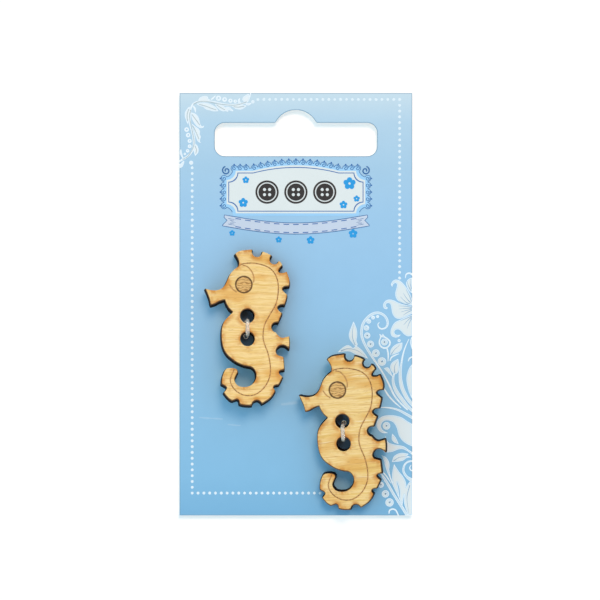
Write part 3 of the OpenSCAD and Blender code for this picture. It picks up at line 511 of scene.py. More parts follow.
# %% Ink materials
INKS = {
    "white_ink": ((226, 242, 251), 0.015, 0.50),
    "cyan_ink": ((158, 210, 248), 0.03, 0.50),
    "plaque_ink": ((225, 234, 235), 0.02, 0.50),
    "navy_ink": ((45, 105, 175), 0.06, 0.50),
    "fine_ink": ((48, 106, 168), 0.06, 0.50),
    "charcoal_ink": ((34, 34, 37), 0.15, 0.42),
    "ribbon_ink": ((200, 214, 233), 0.03, 0.50),
    "azure_ink": ((28, 156, 226), 0.05, 0.50),
    "vein_ink": ((148, 186, 215), 0.04, 0.50),
    "stalk_ink": ((186, 203, 208), 0.04, 0.50),
    "eye_ink": ((112, 140, 164), 0.05, 0.50),
    # Painted shade: the darker line round the hang slot.
    "slot_shade_ink": ((140, 178, 204), 0.03, 0.50),
}


def lay_ink(tree, shader, place, colour, clouding, roughness=0.5):
    """A printed colour with the paper's grain in it."""
    grain = use_group(tree, paper_grain, {"Vector": place, "Colour": colour, "Clouding": clouding})
    dull = ease(tree, grain["Clouds"], 0.3, 0.7, roughness - 0.04, roughness + 0.04)
    surface(tree, shader, grain["Colour"], dull, grain["Tooth"], TOOTH_DEPTH, specular=0.3)


inks = {}
for name, (colour, clouding, roughness) in INKS.items():
    inks[name], tree, shader = new_material(name)
    place = node(tree, "ShaderNodeTexCoord").outputs["Object"]
    lay_ink(tree, shader, place, srgb(*colour), clouding, roughness)

dress("print_plaque_edging", inks["cyan_ink"])
dress("print_plaque", inks["plaque_ink"])
dress("print_plaque_line", inks["navy_ink"])
dress("print_button_discs", inks["charcoal_ink"])
dress("print_ribbon", inks["ribbon_ink"])
dress("print_ribbon_stitches", inks["navy_ink"])
dress("print_blossoms", inks["azure_ink"])
print("inks:", len(inks))

# %% [markdown]
# ## Geometry Nodes for what repeats
# A dotted border, a lace edging and a pen line are each one shape laid down many times or drawn
# along a path. Geometry Nodes say that once: the tree holds the rule, its inputs hold the sizes,
# and a light mesh of points or edges says where. The result is then turned into a plain mesh, so
# that the piece needs no modifier afterwards.

# %% Helpers for Geometry Nodes
def new_tree(name, sizes):
    """Starts a tree with named inputs for its sizes and for its material."""
    tree = bpy.data.node_groups.new(name, "GeometryNodeTree")
    tree.interface.new_socket(name="Geometry", in_out="INPUT", socket_type="NodeSocketGeometry")
    for label in sizes:
        tree.interface.new_socket(name=label, in_out="INPUT", socket_type=FLOAT)
    tree.interface.new_socket(name="Material", in_out="INPUT", socket_type="NodeSocketMaterial")
    tree.interface.new_socket(name="Geometry", in_out="OUTPUT", socket_type="NodeSocketGeometry")
    return tree, tree.nodes.new("NodeGroupInput").outputs


def end_tree(tree, geometry, material):
    """Ends a tree: real geometry instead of instances, and its material."""
    real = node(tree, "GeometryNodeRealizeInstances", {"Geometry": geometry}).outputs[0]
    inked = node(tree, "GeometryNodeSetMaterial", {"Geometry": real, "Material": material})
    node(tree, "NodeGroupOutput", {"Geometry": inked.outputs[0]})


def add_piece(name, mesh, stands_for=None):
    """Puts a finished mesh into the scene as a piece that rides on the part's one body."""
    piece = add_object(name, mesh)
    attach(piece, "root")
    if stands_for:
        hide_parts(stands_for)
    z = [v.co.z / MM for v in mesh.vertices]
    print(name, "has", len(mesh.polygons), "faces, z", round(min(z), 3), "to", round(max(z), 3))


def grow(name, points, edges, tree, sizes, material, values=None):
    """Runs a tree on a light mesh of points and edges, and gives the result as a plain mesh."""
    light = bpy.data.meshes.new(name + "_path")
    light.from_pydata([tuple(p) for p in points], edges, [])
    for label, numbers in (values or {}).items():
        light.attributes.new(label, "FLOAT", "POINT").data.foreach_set("value", numbers)
    seed = add_object(name + "_seed", light)
    modifier = seed.modifiers.new("tree", "NODES")
    modifier.node_group = tree
    given = {**sizes, "Material": material}
    for item in tree.interface.items_tree:
        if item.item_type == "SOCKET" and item.in_out == "INPUT" and item.name in given:
            modifier[item.identifier] = given[item.name]
    done = seed.evaluated_get(bpy.context.evaluated_depsgraph_get())
    mesh = bpy.data.meshes.new_from_object(done)
    mesh.name = name
    bpy.data.objects.remove(seed)
    return mesh


# %% [markdown]
# ## The dotted border
# The border is a row of round white dots down the left side and along the bottom, and again
# along the top and down the right, with gaps where ornaments and the lower button lie. Each dot
# is a very low cone, because ink draws back a little at the rim of a dot, and no two are quite
# the same size.

# %% The rule for dots
dots_tree, given = new_tree("dots", ["Radius", "Height"])
dot = node(
    dots_tree,
    "GeometryNodeMeshCone",
    {
        "Vertices": 18,
        "Radius Top": times(dots_tree, given["Radius"], 0.86),
        "Radius Bottom": given["Radius"],
        "Depth": given["Height"],
    },
)
size = node(dots_tree, "FunctionNodeRandomValue", {"Seed": 7, 2: 0.95, 3: 1.04}, data_type="FLOAT")
flat_size = {"X": size.outputs[1], "Y": size.outputs[1], "Z": 1.0}
placed = node(
    dots_tree,
    "GeometryNodeInstanceOnPoints",
    {
        "Points": given["Geometry"],
        "Instance": dot.outputs["Mesh"],
        "Scale": node(dots_tree, "ShaderNodeCombineXYZ", flat_size).outputs[0],
    },
)
end_tree(dots_tree, placed.outputs[0], given["Material"])
print("tree", dots_tree.name, "has", len(dots_tree.nodes), "nodes")

# %% Dotted border
INK = 0.03 * MM
DOT_RADIUS = 0.29 * MM
DOT_PITCH = 1.157


def dots_at(name, places, radius, height, ink_name, stands_for=None):
    """Printed dots at places on the card in millimetres."""
    points = [(x * MM, y * MM, CARD_FACE) for x, y in places]
    sizes = {"Radius": radius, "Height": height}
    add_piece(name, grow(name, points, [], dots_tree, sizes, inks[ink_name]), stands_for)


def dot_row(x0, y0, x1, y1):
    """Places of a row of dots in millimetres, evenly spaced at about the pitch."""
    n = round(math.hypot(x1 - x0, y1 - y0) / DOT_PITCH)
    return [(x0 + (x1 - x0) * k / n, y0 + (y1 - y0) * k / n) for k in range(n + 1)]


border = dot_row(-20.5, 26.95, -20.5, -37.35) + dot_row(-19.343, -37.35, 4.8, -37.35)
border += dot_row(-7.5, 40.45, 20.5, 40.45) + dot_row(20.5, 39.293, 20.5, 5.15)
dots_at("dot_border", border, DOT_RADIUS, INK, "white_ink", "print_dot_border")
print("dots:", len(border))

# %% [markdown]
# ## Meshes that can carry values
# A laser-cut edge is toasted for about a millimetre, and a printed ornament has a pale rim. Both
# depend on how far a point is from an outline. The CAD faces have points only along their
# outlines, so a value can't change across them. The flat faces are therefore filled again with
# small triangles between the same outline points, and each point keeps its distance from the
# outline.
#
# A CAD mesh is loose triangles, so the work starts on a copy of it whose triangles are joined up.

# %% A joined copy of a CAD mesh
SAME_PLACE = 1.5e-6
SAME_HEIGHT = 1e-7


def merged_copy(node_name):
    """A copy of a CAD node's mesh with its triangles joined up, and no wall between two shapes."""
    mesh = bmesh.new()
    mesh.from_mesh(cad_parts[node_name].data)
    bmesh.ops.remove_doubles(mesh, verts=mesh.verts[:], dist=SAME_PLACE)
    bmesh.ops.dissolve_degenerate(mesh, dist=1e-7, edges=mesh.edges[:])
    mesh.normal_update()
    shared = {e for e in mesh.edges if len(e.link_faces) > 2}
    shared = {e for e in shared if abs(e.verts[0].co.z - e.verts[1].co.z) < SAME_HEIGHT}
    walls = {f for e in shared for f in e.link_faces if abs(f.normal.z) < 0.5}
    bmesh.ops.delete(mesh, geom=list(walls), context="FACES")
    return mesh


def open_edges(mesh):
    """How many edges don't lie between two faces. A closed mesh has none."""
    return sum(len(e.link_faces) != 2 for e in mesh.edges)


joined = merged_copy("button_upper")
print("a joined seahorse has", len(joined.verts), "points,", open_edges(joined), "open edges")
joined.free()

# %% [markdown]
# ## Inside an outline, and how far from it
# A line from a point to the right crosses the outline an odd number of times if the point lies
# inside, and the nearest edge gives its distance. Both questions are asked of thousands of points
# and hundreds of edges, so numpy answers them for 400 points at once.

# %% Measures of an outline
AT_ONCE = 400


def inside(points, a, b):
    """Which points lie inside the outlines with edges a to b, by counting crossings."""
    found = np.zeros(len(points), bool)
    rise = np.where(b[:, 1] == a[:, 1], 1.0, b[:, 1] - a[:, 1])
    for k in range(0, len(points), AT_ONCE):
        x, y = points[k : k + AT_ONCE, 0, None], points[k : k + AT_ONCE, 1, None]
        spans = (a[:, 1] > y) != (b[:, 1] > y)
        crossed = x < (b[:, 0] - a[:, 0]) * (y - a[:, 1]) / rise + a[:, 0]
        found[k : k + AT_ONCE] = (spans & crossed).sum(1) % 2 == 1
    return found


def distance_to(points, a, b):
    """Distance of each point from the nearest of the edges a to b."""
    nearest = np.full(len(points), 1e9)
    way = b - a
    length2 = np.maximum((way * way).sum(1), 1e-12)
    for k in range(0, len(points), AT_ONCE):
        p = points[k : k + AT_ONCE, None, :]
        t = np.clip(((p - a) * way).sum(2) / length2, 0, 1)
        gap = p - a - t[..., None] * way
        nearest[k : k + AT_ONCE] = np.sqrt((gap * gap).sum(2).min(1))
    return nearest


square = np.array([(0.0, 0.0), (2.0, 0.0), (2.0, 2.0), (0.0, 2.0)])
sides = square, np.roll(square, -1, axis=0)
tries = np.array([(0.5, 1.0), (3.0, 1.0)])
print("inside a square:", inside(tries, *sides), "off its edge:", distance_to(tries, *sides))

# %% [markdown]
# ## Small triangles between the same points
# Points are spread in even rows inside the outline, and a constrained Delaunay triangulation
# joins them up with well-shaped triangles. It keeps every outline edge, so the filling can be
# stitched to the same points and the mesh stays closed. Triangles that fall in a hole are left
# out.

# %% Fill flat faces again
ROW_STEP = 0.87
RIM_GAP = 0.35


def filling_points(outline, a, b, pitch):
    """Even rows of points inside an outline, a little way off its edges."""
    low, high = outline.min(0), outline.max(0)
    grid = []
    for k, y in enumerate(np.arange(low[1] + pitch / 2, high[1], pitch * ROW_STEP)):
        grid += [(x, y) for x in np.arange(low[0] + pitch / 2 * (k % 2), high[0], pitch)]
    grid = np.array(grid)
    grid = grid[inside(grid, a, b)]
    return grid[distance_to(grid, a, b) > pitch * RIM_GAP] if len(grid) else grid


def refill(mesh, faces, pitch, flat):
    """Swaps a flat part of a mesh for small triangles. The matrix flat lays that part level."""
    chosen = set(faces)
    rim = [e for f in faces for e in f.edges if sum(g in chosen for g in e.link_faces) == 1]
    points = list({v: None for e in rim for v in e.verts})
    number = {v: i for i, v in enumerate(points)}
    spots = [flat @ v.co / MM for v in points]
    z = sum(p.z for p in spots) / len(spots)
    outline = np.array([(p.x, p.y) for p in spots])
    pairs = [(number[e.verts[0]], number[e.verts[1]]) for e in rim]
    a, b = outline[[i for i, _ in pairs]], outline[[j for _, j in pairs]]
    spread = np.vstack([outline, filling_points(outline, a, b, pitch)])
    places, _, triangles, origins, _, _ = delaunay_2d_cdt(
        [Vector(p) for p in spread], pairs, [], 0, 1e-7
    )
    middles = np.array([np.mean([places[i] for i in t], axis=0) for t in triangles])
    up = faces[0].normal.copy()
    bmesh.ops.delete(mesh, geom=list(faces), context="FACES_ONLY")
    back = flat.inverted()
    corners = []
    for place, origin in zip(places, origins):
        known = [i for i in origin if i < len(points)]
        if known:
            corners.append(points[known[0]])
        else:
            corners.append(mesh.verts.new(back @ (Vector((place.x, place.y, z)) * MM)))
    for t, kept in zip(triangles, inside(middles, a, b)):
        if kept:
            ends = [corners[i] for i in t]
            if (ends[1].co - ends[0].co).cross(ends[2].co - ends[0].co).dot(up) < 0:
                ends.reverse()
            mesh.faces.new(ends)
    loose = [e for e in mesh.edges if not e.link_faces]
    bmesh.ops.delete(mesh, geom=loose, context="EDGES")
    loose = [v for v in mesh.verts if not v.link_faces]
    bmesh.ops.delete(mesh, geom=loose, context="VERTS")
    return a, b


print("points to fill that square with:", len(filling_points(square, *sides, 0.5)))

# %% [markdown]
# ## The floral ornaments
# The corner sprig and the large scroll are pale grey-white shapes, each with a whiter rim and a
# hair of blue inside it, as if drawn with a pen and then filled. The rim follows the outline of
# every leaf, so it comes from the distance that each point keeps. The print is paler towards the
# top of the card, and so are the ornaments.

# %% Ornament material
def own_value(tree, name, output="Fac"):
    """Reads a value that a piece keeps on its points."""
    made = node(tree, "ShaderNodeAttribute", attribute_type="GEOMETRY", attribute_name=name)
    return made.outputs[output]


ornament_print, tree, shader = new_material("ornament_print")
place = node(tree, "ShaderNodeTexCoord").outputs["Object"]
pen = ramp(
    tree,
    sums(tree, "MULTIPLY", own_value(tree, "rim"), 2.0, clamp=True),
    [
        (0.0, (232, 247, 255)),
        (0.18, (234, 247, 255)),
        (0.27, (190, 220, 242)),
        (0.38, (206, 228, 241)),
        (0.50, (223, 236, 241)),
        (1.0, (224, 235, 239)),
    ],
)
up_card = node(tree, "ShaderNodeSeparateXYZ", {"Vector": place}).outputs["Y"]
paler = ease(tree, up_card, 0.0, 30 * MM, 0.0, 0.5)
lay_ink(tree, shader, place, blend_colours(tree, paler, pen, srgb(240, 248, 254)), 0.02)
print(ornament_print.name, "has", len(tree.nodes), "nodes")

# %% Ornament pieces
ORNAMENT_PITCH = 0.2


def keep_number(mesh, name, numbers):
    """Keeps a number on each point of a mesh, where a material can read it."""
    mesh.attributes.new(name, "FLOAT", "POINT").data.foreach_set("value", numbers)


def ornament(name, node_name):
    """A printed ornament whose points know their distance from its outline."""
    mesh = merged_copy(node_name)
    top = max(v.co.z for v in mesh.verts)
    upper = [f for f in mesh.faces if all(v.co.z > top - 1e-6 for v in f.verts)]
    a, b = refill(mesh, upper, ORNAMENT_PITCH, Matrix.Identity(4))
    print(name, "has", open_edges(mesh), "open edges")
    made = bpy.data.meshes.new(name)
    mesh.to_mesh(made)
    mesh.free()
    spots = np.array([(v.co.x, v.co.y) for v in made.vertices]) / MM
    keep_number(made, "rim", distance_to(spots, a, b))
    made.materials.append(ornament_print)
    add_piece(name, made, node_name)


ornament("floral_scroll", "print_floral_scroll")
ornament("corner_sprig", "print_corner_sprig")

# %% [markdown]
# ## Veins and folds
# The lily's petals have blue folds that run to its throat, the leaves have midribs, and the sprig
# hangs on fine stalks. Each is one stroke of a pen. The tree draws a flat band along a path, and
# a value on the points of the path tells it how hard the pen presses there: a fold starts thick
# and runs out, and a stalk stays even.

# %% The rule for a pen stroke
def own_number(tree, name):
    """Reads a number that each point of the light mesh keeps."""
    return node(
        tree, "GeometryNodeInputNamedAttribute", {"Name": name}, data_type="FLOAT"
    ).outputs[0]


def sweep(tree, path, section, scale=1.0):
    """A solid that follows a path, with closed ends."""
    swept = node(
        tree,
        "GeometryNodeCurveToMesh",
        {"Curve": path, "Profile Curve": section, "Scale": scale, "Fill Caps": True},
    )
    return swept.outputs[0]


def laid_flat(tree, path):
    """The same path, with its sections kept upright."""
    return node(tree, "GeometryNodeSetCurveNormal", {"Curve": path}, mode="Z_UP").outputs[0]


pen_tree, given = new_tree("pen_stroke", ["Width", "Height"])
lines = node(pen_tree, "GeometryNodeMeshToCurve", {"Mesh": given["Geometry"]})
nib = node(
    pen_tree,
    "GeometryNodeCurvePrimitiveQuadrilateral",
    {"Width": given["Width"], "Height": given["Height"]},
)
path = laid_flat(pen_tree, lines.outputs[0])
band = sweep(pen_tree, path, nib.outputs[0], own_number(pen_tree, "press"))
end_tree(pen_tree, band, given["Material"])
print("tree", pen_tree.name, "has", len(pen_tree.nodes), "nodes")

# %% Strokes along paths
OVER_INK = CARD_FACE + INK + 0.004 * MM
STROKE_HEIGHT = 0.01 * MM


def smooth(points, steps):
    """A smooth path through a few points, with that many steps from each to the next."""
    path = []
    ends = [np.array(p) for p in (points[0], *points, points[-1])]
    for a, b, c, d in zip(ends, ends[1:], ends[2:], ends[3:]):
        for t in np.arange(0, 1, 1 / steps):
            start = 2 * b + (c - a) * t + (2 * a - 5 * b + 4 * c - d) * t**2
            path.append((start + (3 * b - a - 3 * c + d) * t**3) / 2)
    return [*path, ends[-1]]


def strokes(name, paths, width, ink_name, taper=True):
    """Pen strokes on the ink, along paths of a few points in millimetres."""
    points, edges, press = [], [], []
    for path in paths:
        line = smooth(path, 6)
        first = len(points)
        points += [(p[0] * MM, p[1] * MM, OVER_INK) for p in line]
        edges += [(first + k, first + k + 1) for k in range(len(line) - 1)]
        share = np.linspace(0, 1, len(line))
        press += list(1.05 - 0.8 * share if taper else np.ones(len(line)))
    sizes = {"Width": width, "Height": STROKE_HEIGHT}
    mesh = grow(name, points, edges, pen_tree, sizes, inks[ink_name], {"press": press})
    add_piece(name, mesh)


print("a bend of three points is drawn with", len(smooth([(0, 0), (1, 1), (2, 0)], 6)), "points")

# %% Folds, midribs and stalks
PETAL_FOLDS = [
    [(22.75, 2.7), (22.3, 3.5), (21.95, 4.6)],
    [(22.9, 3.0), (22.6, 4.0), (22.6, 5.0)],
    [(22.85, 0.5), (22.45, 1.6), (21.75, 2.9)],
    [(22.7, 0.25), (22.0, 1.0), (21.2, 2.2)],
    [(22.5, 0.05), (21.7, 0.45), (20.6, 1.5)],
    [(22.2, -0.1), (21.3, 0.1), (20.3, 0.6)],
    [(22.9, -0.62), (21.9, -0.45), (20.3, -0.35)],
    [(22.9, -0.82), (21.9, -0.82), (20.4, -0.95)],
    [(22.9, -1.02), (22.0, -1.2), (20.8, -1.55)],
    [(22.9, -1.22), (22.1, -1.6), (21.2, -2.2)],
    [(22.9, -2.35), (22.0, -2.75), (20.7, -3.3)],
    [(22.9, -2.55), (22.1, -3.2), (21.3, -4.1)],
    [(22.9, -2.8), (22.4, -3.7), (22.0, -4.8)],
]
MIDRIBS = [
    [(18.8, -10.0), (19.5, -9.0), (20.6, -8.0)],
    [(19.55, -13.6), (19.5, -12.4), (20.0, -11.3)],
    [(11.7, -8.1), (11.2, -6.6), (11.2, -5.2), (11.4, -4.1)],
    [(8.9, -9.25), (10.3, -8.8), (12.2, -9.2), (13.6, -10.2)],
    [(19.3, -31.0), (20.4, -30.3), (21.9, -30.1)],
    [(22.5, -35.8), (21.95, -38.3), (22.3, -41.2)],
]
STALKS = [
    [(-20.3, 39.5), (-19.2, 40.0), (-17.6, 40.05), (-14.7, 39.5), (-11.9, 39.35), (-9.7, 40.0)],
    [(-20.8, 38.4), (-21.0, 36.9), (-20.5, 34.3), (-20.15, 31.6), (-21.2, 29.4), (-22.4, 28.6)],
    [(-19.2, 39.5), (-18.0, 39.2), (-16.8, 38.75), (-15.8, 38.4)],
    [(-15.7, 39.4), (-14.9, 38.9), (-14.0, 38.4)],
    [(-12.3, 39.05), (-11.3, 38.95), (-10.2, 39.15)],
    [(-21.15, 38.6), (-21.5, 37.4), (-21.4, 36.2)],
    [(-20.55, 37.5), (-19.8, 36.5), (-19.0, 35.4)],
    [(-20.4, 35.3), (-19.7, 33.9), (-19.15, 32.6)],
    [(-19.95, 31.3), (-19.65, 30.5), (-19.8, 29.8)],
]
strokes("veins", PETAL_FOLDS + MIDRIBS, 0.17 * MM, "vein_ink")
strokes("stalks", STALKS, 0.15 * MM, "stalk_ink", taper=False)

# %% [markdown]
# ## Eyes of the pearls
# The scroll has strings of round pearls, and the larger ones have a small blue-grey eye. An eye
# is a dot like those of the border, a hair thicker than the pearl that it is printed on.

# %% Pearl eyes
PEARL_EYES = [
    (14.1, -6.2),
    (14.75, -7.9),
    (15.8, -9.7),
    (17.0, -11.35),
    (17.5, -7.5),
    (17.9, -24.05),
    (16.8, -35.7),
    (17.7, -37.5),
    (18.5, -39.2),
]
dots_at("pearl_eyes", PEARL_EYES, 0.16 * MM, INK + 0.006 * MM, "eye_ink")

# %% [markdown]
# ## The lace round the plaque
# The pale plaque has a scalloped edging. Each scallop holds a curl drawn with a fine pen and has
# a pearl at its tip, a line runs round them all, and two larger curls fill the upper corners. One
# curl is laid in all of these places. On the right half the curls wind the other way, so the
# tree has a second spiral that is reversed: a mirrored mesh would be inside out.

# %% The rule for lace
lace_tree, given = new_tree("lace", ["Radius", "Line", "Height"])
thread = node(
    lace_tree,
    "GeometryNodeCurvePrimitiveQuadrilateral",
    {"Width": given["Line"], "Height": given["Height"]},
)
turn = node(lace_tree, "ShaderNodeCombineXYZ", {"Z": own_number(lace_tree, "turn")})
turn = node(lace_tree, "FunctionNodeEulerToRotation", {"Euler": turn.outputs[0]})
scale = own_number(lace_tree, "scale")
scale = node(lace_tree, "ShaderNodeCombineXYZ", {"X": scale, "Y": scale, "Z": 1.0})
leftward = own_number(lace_tree, "leftward")
rightward = sums(lace_tree, "SUBTRACT", 1.0, leftward)
both = node(lace_tree, "GeometryNodeJoinGeometry")
for reverse, wanted in ((False, rightward), (True, leftward)):
    spiral = node(
        lace_tree,
        "GeometryNodeCurveSpiral",
        {
            "Resolution": 16,
            "Rotations": 1.35,
            "Start Radius": times(lace_tree, given["Radius"], 0.2),
            "End Radius": given["Radius"],
            "Height": 0.0,
            "Reverse": reverse,
        },
    )
    curl = sweep(lace_tree, laid_flat(lace_tree, spiral.outputs[0]), thread.outputs[0])
    curls = node(
        lace_tree,
        "GeometryNodeInstanceOnPoints",
        {
            "Points": given["Geometry"],
            "Selection": wanted,
            "Instance": curl,
            "Rotation": turn.outputs[0],
            "Scale": scale.outputs[0],
        },
    )
    feed(lace_tree, both.inputs[0], curls.outputs[0])
end_tree(lace_tree, both.outputs[0], given["Material"])
print("tree", lace_tree.name, "has", len(lace_tree.nodes), "nodes")

# %% [markdown]
# ## Where the scallops are
# The plaque's top is a shallow arch between two straight shoulders, and its sides are straight
# between hollow corners. The scallops follow it at about one pitch. Each place keeps the angle
# that its scallop faces, so that its curl and its pearl can be turned with it.

# %% Scallops
PLAQUE_HALF, PLAQUE_TOP, PLAQUE_Y = 13.7, 26.35, 22.15
EDGING, HOLLOW, PITCH = 0.5, 1.8, 1.35
ARCH_HALF, ARCH_RISE = 8.494, 1.1
CLEAR = 0.2


def scallops():
    """Places of the scallops on the edging, with the direction that each one faces."""
    arch_r = (ARCH_HALF**2 + ARCH_RISE**2) / (2 * ARCH_RISE) + EDGING
    arch_mid = PLAQUE_TOP + ARCH_RISE + EDGING - arch_r
    arch_end = math.asin((ARCH_HALF - 0.3) / arch_r)
    n = int(arch_r * arch_end / PITCH)
    found = []
    for k in range(-n, n + 1):
        angle = arch_end * k / n
        found.append((arch_r * math.sin(angle), arch_mid + arch_r * math.cos(angle), -angle))
    top = PLAQUE_TOP + EDGING
    side_x = PLAQUE_HALF + EDGING
    foot = 2 * PLAQUE_Y - top
    shoulder = ARCH_HALF + PITCH
    for side in (-1, 1):
        for t in (0, 0.5, 1):
            x = shoulder + t * (side_x - HOLLOW - CLEAR - shoulder)
            found.append((side * x, top, 0.0))
        for t in (0, 0.25, 0.5, 0.75, 1):
            y = top - HOLLOW - CLEAR + t * (foot - top + 2 * (HOLLOW + CLEAR))
            found.append((side * side_x, y, -side * math.pi / 2))
    return found


lace_at = scallops()
print("scallops:", len(lace_at))

# %% Curls
LACE_Z, LACE_HEIGHT = CARD_FACE + 0.019 * MM, 0.036 * MM
CURL_END = math.radians(126)
CORNER_SIZE = 1.9
MIDDLE = 0.1

corners = [(side * 13.75, 26.4, -side * math.pi / 4) for side in (-1, 1)]
curl_at = lace_at + corners
turns = []
for x, _, angle in curl_at:
    if x < MIDDLE:
        turns.append(angle - math.radians(50) - CURL_END)
    else:
        turns.append(angle - math.radians(130) + CURL_END)
curls = grow(
    "lace_curls",
    [(x * MM, y * MM, LACE_Z) for x, y, _ in curl_at],
    [],
    lace_tree,
    {"Radius": 0.45 * MM, "Line": 0.13 * MM, "Height": LACE_HEIGHT},
    inks["fine_ink"],
    {
        "turn": turns,
        "scale": [1.0] * len(lace_at) + [CORNER_SIZE] * len(corners),
        "leftward": [0.0 if x < MIDDLE else 1.0 for x, _, _ in curl_at],
    },
)
add_piece("lace_curls", curls)

# %% [markdown]
# ## Lines that follow a printed shape
# The line round the lace follows the outline of the CAD edging, and later the slot's edge and the
# ribbon's hem follow theirs. A loop walks along the outline edges of a shape's top face, and the
# pen draws along the loop. Below the plaque the lace has no line, because the ribbon lies there.

# %% Outlines as loops
def outline_of(node_name):
    """The outline of a CAD node's top, as loops of points in order."""
    mesh = merged_copy(node_name)
    top = max(v.co.z for v in mesh.verts)
    flat = {f for f in mesh.faces if all(v.co.z > top - 1e-6 for v in f.verts)}
    rim = {e for f in flat for e in f.edges if sum(g in flat for g in e.link_faces) == 1}
    loops = []
    while rim:
        edge = rim.pop()
        loop = [edge.verts[0], edge.verts[1]]
        while True:
            onward = [e for e in loop[-1].link_edges if e in rim]
            if not onward:
                break
            rim.discard(onward[0])
            loop.append(onward[0].other_vert(loop[-1]))
        loops.append([(v.co.x, v.co.y) for v in loop[:-1]])
    mesh.free()
    return loops


def turned_left(loop):
    """The same loop, going anticlockwise."""
    area = sum(a[0] * b[1] - b[0] * a[1] for a, b in zip(loop, loop[1:] + loop[:1]))
    return loop if area > 0 else loop[::-1]


def loop_line(name, loop, z, width, height, ink_name, above=-1.0):
    """A pen line of even width along a loop, or along the part of it above a height."""
    edges = [(k, (k + 1) % len(loop)) for k in range(len(loop))]
    edges = [(a, b) for a, b in edges if loop[a][1] > above and loop[b][1] > above]
    points = [(x, y, z) for x, y in loop]
    sizes = {"Width": width, "Height": height}
    press = {"press": [1.0] * len(loop)}
    add_piece(name, grow(name, points, edges, pen_tree, sizes, inks[ink_name], press))


print("outlines of the card with its slot and its holes:", len(outline_of("card")))

# %% Line and pearls of the lace
PEARL_OUT = 0.74

rim = turned_left(outline_of("print_plaque_edging")[0])
foot_y = (2 * PLAQUE_Y - PLAQUE_TOP - EDGING + 0.6) * MM
loop_line(
    "lace_rim", rim, LACE_Z, 0.11 * MM, LACE_HEIGHT, "fine_ink", above=foot_y
)
tips = []
for x, y, angle in lace_at:
    tips.append((x - PEARL_OUT * math.sin(angle), y + PEARL_OUT * math.cos(angle)))
dots_at("lace_pearls", tips, 0.15 * MM, INK, "navy_ink")
print("curls:", len(curl_at), "points on the rim:", len(rim))

# %% [markdown]
# ## Painted shade at the hang slot
# The slot's cut edge lies in shade, and that shade is painted as a thin darker line round the
# slot on the face of the board. The line follows the slot's outline on the CAD card, and it is
# moved off the hole by half its width, so that it lies on the board.

# %% Painted slot shade
def moved_in(loop, by):
    """A loop of points, each moved at right angles to the loop, to its left."""
    spots = np.array(loop)
    way = np.roll(spots, -1, axis=0) - np.roll(spots, 1, axis=0)
    way /= np.linalg.norm(way, axis=1)[:, None]
    return spots + by * np.column_stack((-way[:, 1], way[:, 0]))


slot_loop = max(outline_of("card"), key=lambda loop: min(y for _, y in loop))
slot_shade_line = moved_in(turned_left(slot_loop), -0.08 * MM)
slot_z = CARD_FACE + 0.003 * MM
# Painted shade: a darker line where the slot's cut edge lies in shade.
loop_line("slot_painted_shade", slot_shade_line, slot_z, 0.15 * MM, STROKE_HEIGHT, "slot_shade_ink")

# %% [markdown]
# ## Pen lines on the ribbon
# The ribbon below the plaque is drawn with a thin blue line all round and a few short strokes at
# its ends, where the cloth turns under. These are the same pen strokes as the veins. The ribbon
# sags in the middle, so the height of its strokes on the card follows a cosine.

# %% Ribbon lines
RIBBON_HALF, RIBBON_SAG = 14.3, 1.6
FOLD_START, FOLD_END = 13.35, 11.9

hem = outline_of("print_ribbon")[0]
hem_z = CARD_FACE + INK / 2
loop_line("ribbon_hem", hem, hem_z, 0.13 * MM, 0.042 * MM, "fine_ink")
ribbon_low, ribbon_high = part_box("print_ribbon")
ribbon_middle = (ribbon_low.y + ribbon_high.y) / 2 / MM


def ribbon_y(x):
    """Height on the card of the ribbon's middle line, in millimetres."""
    return ribbon_middle + RIBBON_SAG / 2 - RIBBON_SAG * math.cos(math.pi / 2 * x / RIBBON_HALF)


folds = []
for side in (-1, 1):
    for k, off in enumerate((-0.55, -0.28, 0.0, 0.28, 0.55)):
        start, end = FOLD_START - 0.3 * (2 - abs(k - 2)), FOLD_END + 0.35 * (k % 2)
        xs = [side * (start + (end - start) * t) for t in (0, 0.5, 1)]
        folds.append([(x, ribbon_y(x) + off) for x in xs])
strokes("ribbon_folds", folds, 0.11 * MM, "fine_ink")

# %% [markdown]
# ## The plywood
# Birch veneer is pale, with grain in long streaks, finer fibres along them and tiny dark pores.
# On these buttons the grain runs across the seahorse. It has to lean with each button, so it
# reads the button's own millimetres, which are kept on its points, instead of the room's. The
# group draws the veneer, and a shift gives each button another stretch of it. Each mark of the
# wood is one pattern and one colour, laid over the last.

# %% The veneer
birch_veneer, given, out = new_group(
    "birch_veneer",
    [("Vector", VECTOR, None), ("Shift", VECTOR, (0, 0, 0))],
    [("Colour", COLOUR), ("Fibres", FLOAT)],
)
spot = vector_sum(birch_veneer, "ADD", given["Vector"], given["Shift"])
sway = times(birch_veneer, streaked(birch_veneer, spot, (0.11, 0.11, 0.05), 2), 1.8)
sway = node(birch_veneer, "ShaderNodeCombineXYZ", {"Y": sway})
spot = vector_sum(birch_veneer, "ADD", spot, sway.outputs[0])
streaks = streaked(birch_veneer, spot, (0.055, 1.0, 0.4), 5, 0.62)
fibres = streaked(birch_veneer, spot, (0.5, 8.0, 2.0), 3, 0.6)
pores = streaked(birch_veneer, spot, (0.75, 7.0, 2.0), 1, shift=(31, 7, 0))
lines = streaked(birch_veneer, spot, (0.11, 3.4, 1.0), 2, shift=(3, 17, 0))
patches = streaked(birch_veneer, spot, (0.08, 0.27, 0.1), 3, shift=(5, 11, 0))
wood = ramp(
    birch_veneer,
    streaks,
    [
        (0.27, (214, 168, 88)),
        (0.40, (240, 203, 122)),
        (0.49, (252, 222, 160)),
        (0.57, (240, 203, 124)),
        (0.70, (255, 234, 190)),
    ],
)
